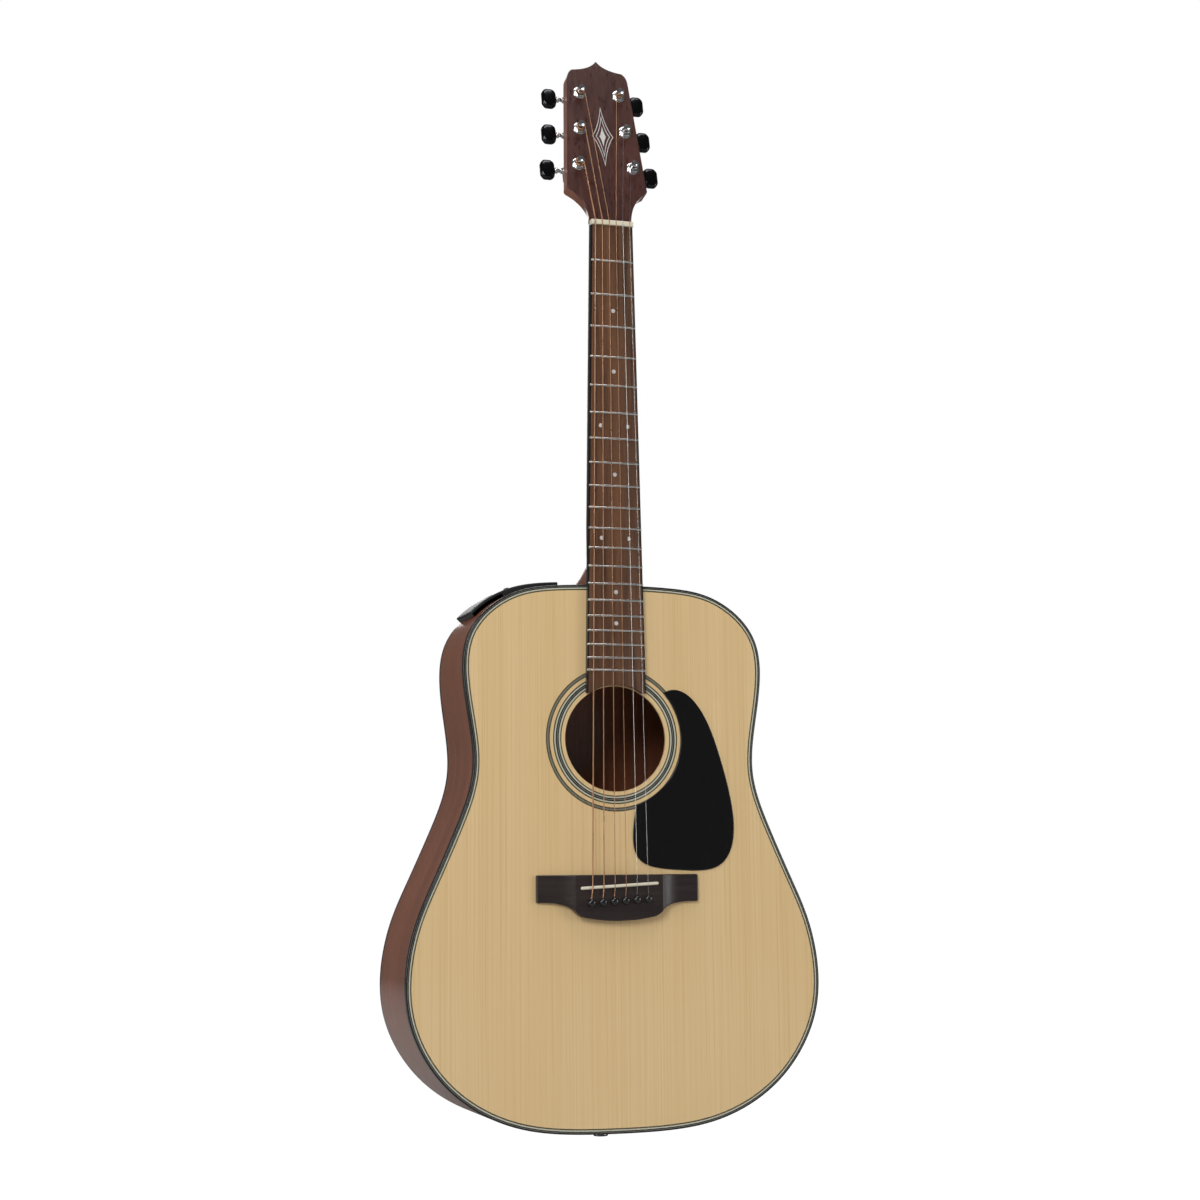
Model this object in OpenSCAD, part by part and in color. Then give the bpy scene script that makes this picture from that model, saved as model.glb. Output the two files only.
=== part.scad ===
// Steel-string acoustic guitar with a pickup: dreadnought body, 20 frets, 14 of them clear of the body.
// +Z runs up the neck, the soundboard faces -Y and the treble side is +X.
// The origin is where the padded prongs of a wall hanger meet the headstock, on the centreline.
// The plane y = 0 is the face of the soundboard and the glue face under the fingerboard.

/* [Strings and neck] */
// Length of an open string, before compensation
scale_length = 634; // [628:1:640]
// Width of the neck at the nut
nut_w = 42.5; // [42:0.5:44]
// Width of the fingerboard at the 12th fret
board_w12 = 54; // [53:0.5:55]
// Thickness of the fingerboard at its centre
board_t = 6; // [5.5:0.25:6.5]
// Radius of the fingerboard's crown, in section
board_r = 406; // [305:1:508]
// Length of the fingerboard, from the nut
board_len = 456; // [452:1:460]
// Depth of the neck wood at the nut
neck_d = 15; // [14:0.5:17]
// Distance between the outer strings at the nut
nut_spread = 35; // [34:0.5:36]
// Distance between the outer strings at the bridge
bridge_spread = 55.8; // [53:0.1:57]

/* [Body] */
// Greatest depth of the body, soundboard face to back
body_depth = 124.6; // [120:0.2:128]
// Radius of the arched back
back_radius = 4600; // [4000:100:5200]
// Thickness of the soundboard
top_t = 2.8; // [2.6:0.1:3.2]
// Thickness of the back
back_t = 3; // [2.6:0.1:3.2]
// Thickness of the ribs
rib_t = 2.6; // [2.4:0.1:3]
// Width of the outer binding, seen from the front
binding_w = 1.6; // [1.4:0.1:1.8]
// Depth of the outer binding
binding_d = 6; // [5:0.5:7]
// Radius of the soundhole
hole_r = 50; // [48:0.5:51]

/* [Bridge] */
// Height of the bridge over the soundboard
bridge_t = 8.5; // [8:0.1:9]
// Height of the saddle's crown over the soundboard
saddle_h = 11.1; // [10.6:0.1:12]
// Compensation: extra length at the saddle's centre
saddle_back = 3.4; // [2:0.1:4.5]

/* [Headstock] */
// Tilt of the headstock behind the neck, in degrees
head_tilt = 14; // [12:0.5:16]
// Thickness of the headstock wood
head_t = 14; // [13:0.5:15]
// Thickness of the headstock's face veneer
veneer_t = 1.6; // [1:0.1:2]
// Height of the string posts over the face
post_h = 10.2; // [9:0.2:14]

/* [Pickup] */
// How far the control panel stands out of the rib
panel_t = 6; // [3:0.2:7]
// Where a slider cap's travel ends, each side of its middle
slider_travel = 7; // [5:0.5:8]

/* [Hidden] */
$fn = 48;

// Heights along the neck
nut_t = 5;
nut_z = -32;
head_z = nut_z + nut_t;
body_z = nut_z - fret_at(14);
hole_z = body_z - 147.5;
saddle_z = nut_z - scale_length - saddle_back;
body_len = 514.67;
tail_z = body_z - body_len;

// Half outline of the body, as control points of a cubic B-spline from the neck joint to the tail
outline_cp = [
    [0, 0], [59, -1], [105, -7], [153, -48], [146, -116], [133, -177], [154, -230],
    [179, -285], [200, -330], [208, -405], [170, -470], [116, -503], [65, -514], [0, -515]
];
outline_last = len(outline_cp) - 1;
outline_ctl = concat(
    [[-outline_cp[1][0], outline_cp[1][1]]],
    outline_cp,
    [[-outline_cp[outline_last - 1][0], outline_cp[outline_last - 1][1]]]
);
edge_steps = 6;
edge_last = outline_last * edge_steps;

// The back is part of a ball, deepest near the tail
ball_y = body_depth - back_radius;
ball_z = body_z - 528;
deep = 130;

// Bindings, purfling and linings are bands, given by how far in from the outline they start and end
purfling_in = 5.4;
lining_in = 8;
inlay_d = 1;
lining_d = 12;
block_top = [35, 60];
block_tail = [40, 24];

// Rosette rings, as inner and outer radii
rosette_rings = [[53.7, 61.8], [65, 68.8]];

// Bridge pins and saddle
saddle_w = 3;
saddle_len = 77;
saddle_slant = 3.1;
slot_floor = 3;
pin_z = saddle_z - 14.2;
pin_slant = 3.2 / 55;
pin_r = 2.5;
pin_head_r = 3.9;

// Strings from bass to treble
string_r = [0.675, 0.535, 0.405, 0.305, 0.205, 0.15];
fret_h = 1.1;
fret_w = 2.2;
nut_floor = 7.55;
nut_top = 8.3;

// Tuners: number 1 is the bass string's, number 6 is the first string's
post_u = [61.8, 102.8, 144.3, 144.3, 102.8, 61.8];
post_x = [-28, -23.5, -20.3, 20.3, 23.5, 28];
post_r = 3;
run_fit = 0.05;
bush_r = 4.8;
worm_off = -4.2;
wheel_r = 2.8;
wheel_teeth = 14;
wrap_rise = 3.9;
worm_r = 1;
shaft_r = 2;
collar_r = 2.9;
housing_back = head_t + 12;
shaft_y = head_t + 6;
button_in = 18;
button_out = 33;
button_half = 10.8;
button_t = 8;

// Control panel in the bass shoulder, from one outline step to another, and its depth in the rib
panel_k = [5, 15.3];
panel_y = [28, 86];
case_y = [35, 78];
slot_half = slider_travel + 3.5;
slider_k = [7, 8.5, 10];
door_k = [11.6, 15.3];

function fret_at(n) = scale_length * (1 - pow(2, -n / 12));
function board_half(d) = (nut_w + (board_w12 - nut_w) * d / (scale_length / 2)) / 2;
function crown(x) = x * x / (2 * board_r);
function unit(v) = v / norm(v);
function reversed(v) = [for (i = [len(v) - 1:-1:0]) v[i]];
function flipped(v) = [for (p = v) [-p[0], p[1]]];
function bezier(a, b, c, t) = pow(1 - t, 2) * a + 2 * t * (1 - t) * b + t * t * c;
function curve(a, b, c, n) = [for (i = [0:n]) bezier(a, b, c, i / n)];

// Point and direction of a cubic B-spline in span i, with t from 0 to 1
function spline_at(c, i, t) = (pow(1 - t, 3) * c[i] + (3 * pow(t, 3) - 6 * t * t + 4) * c[i + 1]
    + (-3 * pow(t, 3) + 3 * t * t + 3 * t + 1) * c[i + 2] + pow(t, 3) * c[i + 3]) / 6;
function spline_dir(c, i, t) = (-3 * pow(1 - t, 2) * c[i] + (9 * t * t - 12 * t) * c[i + 1]
    + (-9 * t * t + 6 * t + 3) * c[i + 2] + 3 * t * t * c[i + 3]) / 6;

// Point k steps along the treble half of the outline, moved inwards by inset
function edge_span(k) = min(floor(k / edge_steps), outline_last - 1);
function edge_dir(k) = unit(spline_dir(outline_ctl, edge_span(k), k / edge_steps - edge_span(k)));
function edge_at(k, inset) = spline_at(outline_ctl, edge_span(k), k / edge_steps - edge_span(k))
    + inset * [edge_dir(k)[1], -edge_dir(k)[0]];
function half_edge(inset, k0, k1) =
    concat([for (k = [k0:1:k1 - 0.01]) edge_at(k, inset)], [edge_at(k1, inset)]);

// Extrudes a drawing in X and Z from y0 back to y1
module slab(y0, y1) {
    translate([0, y1, 0]) rotate([90, 0, 0]) linear_extrude(y1 - y0) children();
}

module bass() {
    mirror([1, 0, 0]) children();
}

module body_2d(inset) {
    half = half_edge(inset, 0, edge_last);
    inner = [for (i = [edge_last - 1:-1:1]) half[i]];
    translate([0, body_z]) polygon(concat(half, flipped(inner)));
}

module band_2d(outer, inner) {
    difference() {
        body_2d(outer);
        body_2d(inner);
    }
}

// A stretch of the treble half's edge, between two insets
module strip_2d(outer, inner, k0, k1) {
    points = concat(half_edge(outer, k0, k1), reversed(half_edge(inner, k0, k1)));
    translate([0, body_z]) polygon(points);
}

module back_ball(inset) {
    translate([0, ball_y, ball_z]) sphere(r = back_radius - inset, $fn = 720);
}

module blocks_2d() {
    translate([-block_top[0], body_z - block_top[1]]) square([2 * block_top[0], block_top[1] + 9]);
    translate([-block_tail[0], tail_z - 9]) square([2 * block_tail[0], block_tail[1] + 9]);
}

module soundhole_disc(r, y0, y1) {
    translate([0, y0, hole_z]) rotate([-90, 0, 0]) cylinder(r = r, h = y1 - y0, $fn = 128);
}

module pin_places() {
    for (i = [0:5]) {
        x = bridge_spread * (i / 5 - 0.5);
        translate([x, 0, pin_z + x * pin_slant]) rotate([-90, 0, 0]) children();
    }
}

module pin_holes() {
    pin_places() translate([0, 0, -bridge_t - 1]) cylinder(r = pin_r + 0.05, h = 30);
}

// --- Body ---

module soundboard() {
    color("#e9c88c") difference() {
        slab(0, top_t) body_2d(binding_w);
        slab(-1, inlay_d) band_2d(0, purfling_in);
        soundhole_disc(hole_r, -1, 9);
        for (ring = rosette_rings) {
            difference() {
                soundhole_disc(ring[1], -1, inlay_d);
                soundhole_disc(ring[0], -2, inlay_d + 1);
            }
        }
        pin_holes();
    }
}

module back_plate() {
    color("#7c4a33") difference() {
        intersection() {
            slab(60, deep) body_2d(binding_w);
            back_ball(0);
        }
        back_ball(back_t);
    }
}

module rib_shape() {
    difference() {
        intersection() {
            slab(top_t, deep) strip_2d(0, rib_t, 0, edge_last);
            back_ball(back_t);
        }
        slab(0, binding_d) strip_2d(-1, binding_w, 0, edge_last);
        difference() {
            slab(60, deep) strip_2d(-1, binding_w, 0, edge_last);
            back_ball(binding_d + 0.12);
        }
        jack_hole();
    }
}

module jack_hole() {
    translate([0, 60, tail_z - 1]) cylinder(r = 6.1, h = 40);
}

module rib_treble() {
    color("#7c4a33") rib_shape();
}

module rib_bass() {
    color("#7c4a33") bass() difference() {
        rib_shape();
        slab(case_y[0] - 1, case_y[1] + 1) strip_2d(-1, rib_t + 1, panel_k[0] + 0.8, panel_k[1] - 0.8);
    }
}

module binding_top() {
    color("#151413") slab(0, binding_d) band_2d(0, binding_w);
}

module binding_back() {
    color("#151413") difference() {
        intersection() {
            slab(60, deep) band_2d(0, binding_w);
            back_ball(0);
        }
        back_ball(binding_d);
    }
}

module purfling_top() {
    color("#c9cbb4") slab(0, inlay_d) band_2d(binding_w, purfling_in);
}

module rosette() {
    color("#33362f") for (ring = rosette_rings) {
        difference() {
            soundhole_disc(ring[1], 0, inlay_d);
            soundhole_disc(ring[0], -1, inlay_d + 1);
        }
    }
}

// Closed outline of the pickguard, as control points of a cubic B-spline measured from the soundhole
guard_cp = [
    [44, 47], [69, 50], [91, 24], [104, -12], [117, -59], [120, -98],
    [104, -127], [60, -124], [18, -121], [14, -87], [25, -40], [36, 20]
];

module pickguard() {
    ctl = concat(guard_cp, [guard_cp[0], guard_cp[1], guard_cp[2]]);
    spans = len(guard_cp);
    points = [for (i = [0:spans - 1]) for (k = [0:5]) spline_at(ctl, i, k / 6)];
    color("#0c0c0d") difference() {
        slab(-1.2, 0) translate([0, hole_z]) polygon(points);
        soundhole_disc(65.5, -3, 1);
    }
}

module lining_top() {
    color("#cfae7c") slab(top_t, top_t + lining_d) difference() {
        band_2d(rib_t, lining_in);
        blocks_2d();
    }
}

module lining_back() {
    color("#cfae7c") difference() {
        intersection() {
            slab(60, deep) difference() {
                band_2d(rib_t, lining_in);
                blocks_2d();
            }
            back_ball(back_t);
        }
        back_ball(back_t + lining_d);
    }
}

module block_shape() {
    intersection() {
        slab(top_t, deep) intersection() {
            body_2d(rib_t);
            children();
        }
        back_ball(back_t);
    }
}

module neck_block() {
    color("#8a5a3d") block_shape() translate([-block_top[0], body_z - block_top[1]])
        square([2 * block_top[0], block_top[1]]);
}

module tail_block() {
    color("#8a5a3d") difference() {
        block_shape() translate([-block_tail[0], tail_z]) square([2 * block_tail[0], block_tail[1]]);
        jack_hole();
    }
}

// A straight brace bar in the soundboard's plane
module bar_2d(from, to, w) {
    run = to - from;
    translate([from[0], body_z + from[1]]) rotate(atan2(run[1], run[0]))
        translate([0, -w / 2]) square([norm(run), w]);
}

module x_bars_2d() {
    bar_2d([-120, -120], [185, -375], 8);
    bar_2d([120, -120], [-185, -375], 8);
}

module soundboard_braces() {
    color("#dcc08f") slab(top_t, top_t + 13) intersection() {
        body_2d(lining_in + 1);
        union() {
            x_bars_2d();
            bar_2d([-160, -84], [160, -84], 12);
            bar_2d([-60, -345], [60, -430], 7);
            bar_2d([-90, -375], [10, -446], 7);
        }
    }
}

module back_braces() {
    color("#dcc08f") difference() {
        intersection() {
            slab(60, deep) intersection() {
                body_2d(lining_in + 1);
                union() {
                    for (z = [-78, -208, -300, -405]) {
                        translate([-250, body_z + z - 4]) square([500, 8]);
                    }
                }
            }
            back_ball(back_t);
        }
        back_ball(back_t + 12);
    }
}

module bridge_plate() {
    color("#b98a5e") difference() {
        slab(top_t, top_t + 2.4) difference() {
            translate([-62, saddle_z - 30]) square([124, 42]);
            offset(delta = 0.5) x_bars_2d();
            offset(delta = 0.5) bar_2d([-60, -345], [60, -430], 7);
        }
        pin_holes();
    }
}

module bridge_2d() {
    wing = curve([70, -15.2], [50, -16.2], [43.5, -23], 8);
    lip = curve([43.5, -23], [41, -27], [36, -28.5], 4);
    belly_r = 168;
    belly_z = belly_r - 32.7;
    belly = [for (i = [1:7]) let (x = 36 - 4.5 * i) [x, belly_z - sqrt(belly_r * belly_r - x * x)]];
    half = concat([[79.6, 10.4], [79.6, -15.2]], wing, lip, belly);
    translate([0, saddle_z]) polygon(concat(half, [[0, belly_z - belly_r]], reversed(flipped(half))));
}

module saddle_slot(w, len, y0, y1) {
    translate([0, 0, saddle_z]) rotate([0, -saddle_slant, 0]) translate([-len / 2, -y1, -w / 2])
        cube([len, y1 - y0, w]);
}

module bridge() {
    scoop_r = 40;
    wing_t = 4;
    scoop_x = 61.5;
    color("#33211c") difference() {
        slab(-bridge_t, 0) bridge_2d();
        for (side = [-1, 1]) {
            translate([side * scoop_x, -wing_t - scoop_r, saddle_z - 50])
                cylinder(r = scoop_r, h = 80, $fn = 180);
            translate([side * (scoop_x + 15) - 15, -20, saddle_z - 50]) cube([30, 20 - wing_t, 80]);
        }
        saddle_slot(saddle_w + 0.1, saddle_len + 0.4, slot_floor, bridge_t + 1);
        pin_holes();
    }
}

// Everything below the crown that stands top over the soundboard
module crowned(top) {
    translate([0, board_r - top, -900]) cylinder(r = board_r, h = 1000, $fn = 720);
}

module saddle() {
    color("#f1ead6") intersection() {
        saddle_slot(saddle_w, saddle_len, slot_floor + 1.4, saddle_h + 1);
        crowned(saddle_h);
    }
}

module saddle_pickup() {
    color("#8d8f92") saddle_slot(2.6, 72, slot_floor + 0.1, slot_floor + 1.3);
}

module bridge_pins() {
    color("#131314") pin_places() {
        translate([0, 0, -bridge_t]) cylinder(r = pin_r, h = 24);
        translate([0, 0, -bridge_t]) intersection() {
            sphere(r = pin_head_r);
            translate([-5, -5, -3.4]) cube([10, 10, 3.4]);
        }
    }
}

// --- Neck ---

// Side profile of the neck's back, and the line on the glue face that each ring starts from
heel_len = 62;
heel_cap_t = 3;
heel_depth = 88;
heel_nose = 16;
neck_join = body_z - 0.3;
heel_top = neck_join + heel_len;
corner_s = 0.45;

function neck_back(z) = neck_d + 2.4 * (head_z - z) / (head_z - heel_top);
function heel_back(s) = [
    neck_back(heel_top) * pow(1 - s, 3) + 3 * s * pow(1 - s, 2) * 20 + 3 * s * s * (1 - s) * 47
        + pow(s, 3) * heel_depth,
    neck_join + heel_len * pow(1 - s, 3) + 3 * s * pow(1 - s, 2) * 40 + 3 * s * s * (1 - s) * 22
        + pow(s, 3) * heel_nose
];
function heel_base(s) = s < corner_s
    ? [0, neck_join + heel_len * (1 - s / corner_s)]
    : [heel_depth * (s - corner_s) / (1 - corner_s), neck_join];
function heel_half(s) = board_half(nut_z - heel_base(s)[1]) - 0.1 - 11 * pow(s, 1.6);

// A D-shaped ring from its base line to its back, with half width w
ring_n = 12;
function d_ring(base, back, w) = [for (i = [0:ring_n]) let (
    a = 180 * i / ring_n,
    f = pow(sin(a), 0.8),
    p = base * (1 - f) + back * f
) [w * cos(a), p[0], p[1]]];

shaft_zs = [head_z + 1, head_z - 60, head_z - 140, head_z - 220, heel_top + 20];
heel_ss = [0, 0.15, 0.3, 0.45, 0.6, 0.7, 0.8, 0.9, 1];
neck_rings = concat(
    [for (z = shaft_zs) d_ring([0, z], [neck_back(z), z], board_half(nut_z - z) - 0.1)],
    [for (s = heel_ss) d_ring(heel_base(s), heel_back(s), heel_half(s))]
);

module ring_loft(rings) {
    n = len(rings[0]);
    last = (len(rings) - 1) * n;
    sides = [for (r = [0:len(rings) - 2]) for (i = [0:n - 1])
        [r * n + i, r * n + (i + 1) % n, (r + 1) * n + (i + 1) % n, (r + 1) * n + i]];
    polyhedron(
        points = [for (ring = rings) each ring],
        faces = concat(sides, [[for (i = [n - 1:-1:0]) i]], [[for (i = [0:n - 1]) last + i]])
    );
}

// The headstock's own frame: local Y is its thickness, local Z runs up its face
module head_frame() {
    translate([0, 0, head_z]) rotate([-head_tilt, 0, 0]) children();
}

module head_half_2d() {
    flare = curve([21.3, 0], [23, 24], [39.8, 34.6], 10);
    shoulder = curve([31.6, 161], [30.6, 169], [25.6, 171.5], 6);
    scoop = curve([25.6, 171.5], [7, 173.5], [0.4, 183], 8);
    polygon(concat([[-1, 0]], flare, [[41, 36.8]], shoulder, scoop, [[-1, 183]]));
}

module head_2d() {
    head_half_2d();
    mirror([1, 0]) head_half_2d();
}

module tuner_places() {
    for (i = [0:5]) {
        head_frame() translate([post_x[i], 0, post_u[i]]) mirror([i < 3 ? 1 : 0, 0, 0]) children();
    }
}

module tuner_place(n) {
    i = n - 1;
    head_frame() translate([post_x[i], 0, post_u[i]]) mirror([i < 3 ? 1 : 0, 0, 0]) children();
}

module along_y(y0, y1, r, r2 = -1) {
    translate([0, y0, 0]) rotate([-90, 0, 0]) cylinder(h = y1 - y0, r1 = r, r2 = r2 < 0 ? r : r2);
}

module along_x(x0, x1, r) {
    translate([x0, shaft_y, -worm_off]) rotate([0, 90, 0]) cylinder(h = x1 - x0, r = r);
}

rod_w = 6;
rod_d = 9;

module neck() {
    color("#7c4a33") difference() {
        union() {
            ring_loft(neck_rings);
            head_frame() slab(0, head_t) head_2d();
        }
        translate([-rod_w / 2, -1, body_z + 5]) cube([rod_w, rod_d + 1, head_z - body_z + 15]);
        tuner_places() {
            along_y(-1, head_t + 1, bush_r + 0.1);
            translate([4, 0, -11]) along_y(5, head_t + 1, 1.1);
        }
    }
}

module truss_rod() {
    color("#9a9ca0") {
        translate([0, 3.6, body_z + 10]) cylinder(r = 2.4, h = head_z - body_z - 12);
        translate([0, 3.6, head_z - 2]) cylinder(r = 2.8, h = 9, $fn = 6);
    }
}

module heel_cap() {
    n = 24;
    w = heel_half(1);
    points = [for (i = [0:n]) [w * cos(180 * i / n), neck_join + heel_nose * pow(sin(180 * i / n), 0.8)]];
    color("#151413") slab(heel_depth, heel_depth + heel_cap_t) polygon(points);
}

module board_2d(margin) {
    top = board_half(0) - margin;
    low = board_half(board_len) - margin;
    difference() {
        polygon([[-top, nut_z], [top, nut_z], [low, nut_z - board_len], [-low, nut_z - board_len]]);
        translate([0, hole_z]) circle(r = hole_r + 1, $fn = 128);
    }
}

board_edge = 1.5;
single_dots = [3, 5, 9, 15, 17];
double_dots = [7, 12];
dot_r = 2;
dot_off = 13.5;
dot_t = 1.5;

// Places of the position dots, as x and z
function dot_z(n) = nut_z - (fret_at(n) + fret_at(n - 1)) / 2;
dots = concat(
    [for (n = single_dots) [0, dot_z(n)]],
    [for (n = double_dots, side = [-1, 1]) [side * dot_off, dot_z(n)]]
);

module fingerboard() {
    color("#593a28") difference() {
        intersection() {
            slab(-board_t - 1, 0) board_2d(board_edge);
            crowned(board_t);
        }
        for (dot = dots) {
            translate([dot[0], 0, dot[1]]) along_y(-board_t - 1, -board_t + dot_t, dot_r);
        }
    }
}

module fingerboard_binding() {
    color("#141313") intersection() {
        slab(-board_t - 1, 0) difference() {
            board_2d(0);
            board_2d(board_edge);
        }
        crowned(board_t);
    }
}

module position_dots() {
    color("#ece9e0") for (dot = dots) {
        translate([dot[0], 0, dot[1]]) along_y(-board_t + crown(dot[0]), -board_t + dot_t, dot_r - 0.02);
    }
}

module frets() {
    color("#c9cbcf") intersection() {
        difference() {
            crowned(board_t + fret_h);
            crowned(board_t);
        }
        union() {
            for (n = [1:20]) {
                half = board_half(fret_at(n));
                translate([-half, -board_t - 3, nut_z - fret_at(n) - fret_w / 2])
                    cube([2 * half, 6, fret_w]);
            }
        }
    }
}

module nut() {
    color("#efe9da") difference() {
        intersection() {
            translate([-nut_w / 2, -nut_top - 1, nut_z]) cube([nut_w, nut_top + 1, nut_t]);
            crowned(nut_top);
        }
        for (i = [0:5]) {
            r = string_r[i] + 0.05;
            translate([nut_x(i) - r, -nut_top - 2, nut_z - 1])
                cube([2 * r, nut_top + 2 - nut_floor + crown(nut_x(i)), nut_t + 2]);
        }
    }
}

module headstock_veneer() {
    color("#41201b") head_frame() difference() {
        slab(-veneer_t, 0) intersection() {
            head_2d();
            translate([-60, 2]) square([120, 200]);
        }
        for (i = [0:5]) {
            translate([post_x[i], 0, post_u[i]]) along_y(-3, 1, bush_r + 0.1);
        }
    }
}

// --- Tuners, each drawn for the treble side about its string post ---

module tuner_housings() {
    color("#c7c9cc") tuner_places() difference() {
        union() {
            slab(head_t, housing_back) translate([0.5, 1.5]) offset(r = 3) square([11, 12], center = true);
            slab(head_t, head_t + 3) hull() {
                translate([4, -11]) circle(r = 3.2);
                translate([4, -4]) circle(r = 3.2);
            }
            translate([8, shaft_y, -worm_off]) rotate([0, 90, 0]) cylinder(r = 3.6, h = 2);
        }
        along_y(head_t - 1, head_t + 3, post_r + run_fit);
        along_y(head_t + 2, housing_back - 2.4, wheel_r + 0.4);
        along_x(-6, 6, worm_r + 0.5);
        along_x(5, 12, shaft_r + run_fit);
        translate([4, 0, -11]) along_y(head_t - 1, head_t + 4, 1.1);
    }
}

module tuner_bushings() {
    color("#d3d5d8") tuner_places() difference() {
        union() {
            along_y(-veneer_t, head_t, bush_r);
            along_y(-veneer_t - 1.1, -veneer_t, 6.5);
            along_y(-veneer_t - 3, -veneer_t - 1.1, 5.3);
        }
        along_y(-9, head_t + 1, post_r + run_fit);
    }
}

module tuner_screws() {
    color("#c7c9cc") tuner_places() translate([4, 0, -11]) {
        along_y(6, head_t + 3, 1.05);
        along_y(head_t + 3, head_t + 4.2, 2.3, 1.6);
    }
}

module wheel_2d() {
    points = [for (i = [0:wheel_teeth * 4 - 1]) let (
        a = 360 * i / (wheel_teeth * 4),
        r = i % 4 < 2 ? wheel_r : wheel_r - 0.8
    ) [r * cos(a), r * sin(a)]];
    polygon(points);
}

module tuner_post(n) {
    low = -veneer_t - post_h;
    color("#d3d5d8") tuner_place(n) difference() {
        union() {
            along_y(low + 2.6, head_t + 2.6, post_r);
            along_y(low + 1, low + 2.6, 3.7, post_r);
            along_y(low, low + 1, 3.3, 3.7);
            slab(head_t + 2.6, head_t + 9) wheel_2d();
        }
        translate([-5, low + wrap_rise, 0]) rotate([0, 90, 0]) cylinder(r = 0.95, h = 10);
    }
}

module tuner_shaft(n) {
    color("#c7c9cc") tuner_place(n) {
        along_x(-3.5, 5.2, worm_r);
        along_x(5.2, 10.2, shaft_r);
        along_x(10.2, button_in, collar_r);
        along_x(button_in, button_in + 9, 1.6);
    }
}

module tuner_button(n) {
    side = curve([button_in + 3, button_half], [button_in + 1, 8], [button_in, 5], 4);
    far = curve([button_out, 5.5], [button_out - 1, 8.6], [button_out - 4, button_half], 4);
    upper = concat(side, [[button_in, 0]]);
    points = concat(
        upper,
        reversed([for (p = side) [p[0], -p[1]]]),
        reversed([for (p = far) [p[0], -p[1]]]),
        far
    );
    color("#1b1c1e") tuner_place(n) difference() {
        slab(shaft_y - button_t / 2, shaft_y + button_t / 2) translate([0, -worm_off]) polygon(points);
        along_x(button_in - 1, button_in + 9.2, 1.65);
    }
}

module tuner_post_1() tuner_post(1);
module tuner_post_2() tuner_post(2);
module tuner_post_3() tuner_post(3);
module tuner_post_4() tuner_post(4);
module tuner_post_5() tuner_post(5);
module tuner_post_6() tuner_post(6);
module tuner_shaft_1() tuner_shaft(1);
module tuner_shaft_2() tuner_shaft(2);
module tuner_shaft_3() tuner_shaft(3);
module tuner_shaft_4() tuner_shaft(4);
module tuner_shaft_5() tuner_shaft(5);
module tuner_shaft_6() tuner_shaft(6);
module tuner_button_1() tuner_button(1);
module tuner_button_2() tuner_button(2);
module tuner_button_3() tuner_button(3);
module tuner_button_4() tuner_button(4);
module tuner_button_5() tuner_button(5);
module tuner_button_6() tuner_button(6);

// --- Strings ---

// A point of the headstock's frame, in the guitar's frame
function head_point(x, y, u) = [
    x,
    y * cos(head_tilt) + u * sin(head_tilt),
    head_z - y * sin(head_tilt) + u * cos(head_tilt)
];
wrap_gap = 0.3;
wrap_y = -veneer_t - post_h + wrap_rise;

function nut_x(i) = nut_spread * (i / 5 - 0.5);
function bridge_x(i) = bridge_spread * (i / 5 - 0.5);
function saddle_at(i) = saddle_z + bridge_x(i) * tan(saddle_slant);
function post_touch(i) = post_x[i] - sign(post_x[i]) * (post_r + string_r[i] + wrap_gap);
function string_points(i) = [
    head_point(post_touch(i), wrap_y, post_u[i]),
    [nut_x(i), -nut_floor - string_r[i] + crown(nut_x(i)), head_z - 0.3],
    [bridge_x(i) * 0.98, -saddle_h - string_r[i] - 0.05 + crown(bridge_x(i)), saddle_at(i)],
    [bridge_x(i), -bridge_t - string_r[i] - 0.1, pin_z + bridge_x(i) * pin_slant + pin_head_r + 0.4]
];

// Each string is a thin tube with a flat ring at each point of its path, from post to bridge pin
ring_sides = 8;

module strings() {
    color("#b98a5a") for (i = [0:5]) {
        ring_loft([for (p = string_points(i)) [for (k = [0:ring_sides - 1])
            p + string_r[i] * [cos(360 * k / ring_sides), sin(360 * k / ring_sides), 0]]]);
    }
}

// --- End pin, with the output jack inside ---

module end_pin_jack() {
    color("#b9bbbf") translate([0, 60, tail_z]) difference() {
        union() {
            translate([0, 0, -1.4]) cylinder(r = 8, h = 1.2);
            cylinder(r = 6, h = 34);
            translate([0, 0, -5.6]) cylinder(r = 5, h = 6);
            translate([0, 0, -8]) cylinder(r = 7, h = 2.4);
        }
        translate([0, 0, -9]) cylinder(r = 3.2, h = 31);
    }
}

// --- Pickup electronics, drawn for the treble side and mirrored into the bass shoulder ---

module at_edge(k, inset) {
    p = edge_at(k, inset);
    d = edge_dir(k);
    translate([p[0], 0, body_z + p[1]]) rotate([0, -atan2(d[1], d[0]), 0]) children();
}

panel_gap = 0.2;
door_t = 1.6;
door_y = [33, 81];
mid_y = (panel_y[0] + panel_y[1]) / 2;

module preamp_panel() {
    color("#111112") bass() difference() {
        slab(panel_y[0], panel_y[1]) strip_2d(-panel_gap - panel_t, -panel_gap, panel_k[0], panel_k[1]);
        slab(door_y[0] - 0.3, door_y[1] + 0.3)
            strip_2d(-panel_t - 2, -panel_gap - panel_t + door_t + 0.3, door_k[0], door_k[1] + 1);
        for (k = slider_k) {
            at_edge(k, -panel_gap - panel_t / 2) translate([-0.9, mid_y - slot_half, -6])
                cube([1.8, 2 * slot_half, 12]);
        }
    }
}

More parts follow.
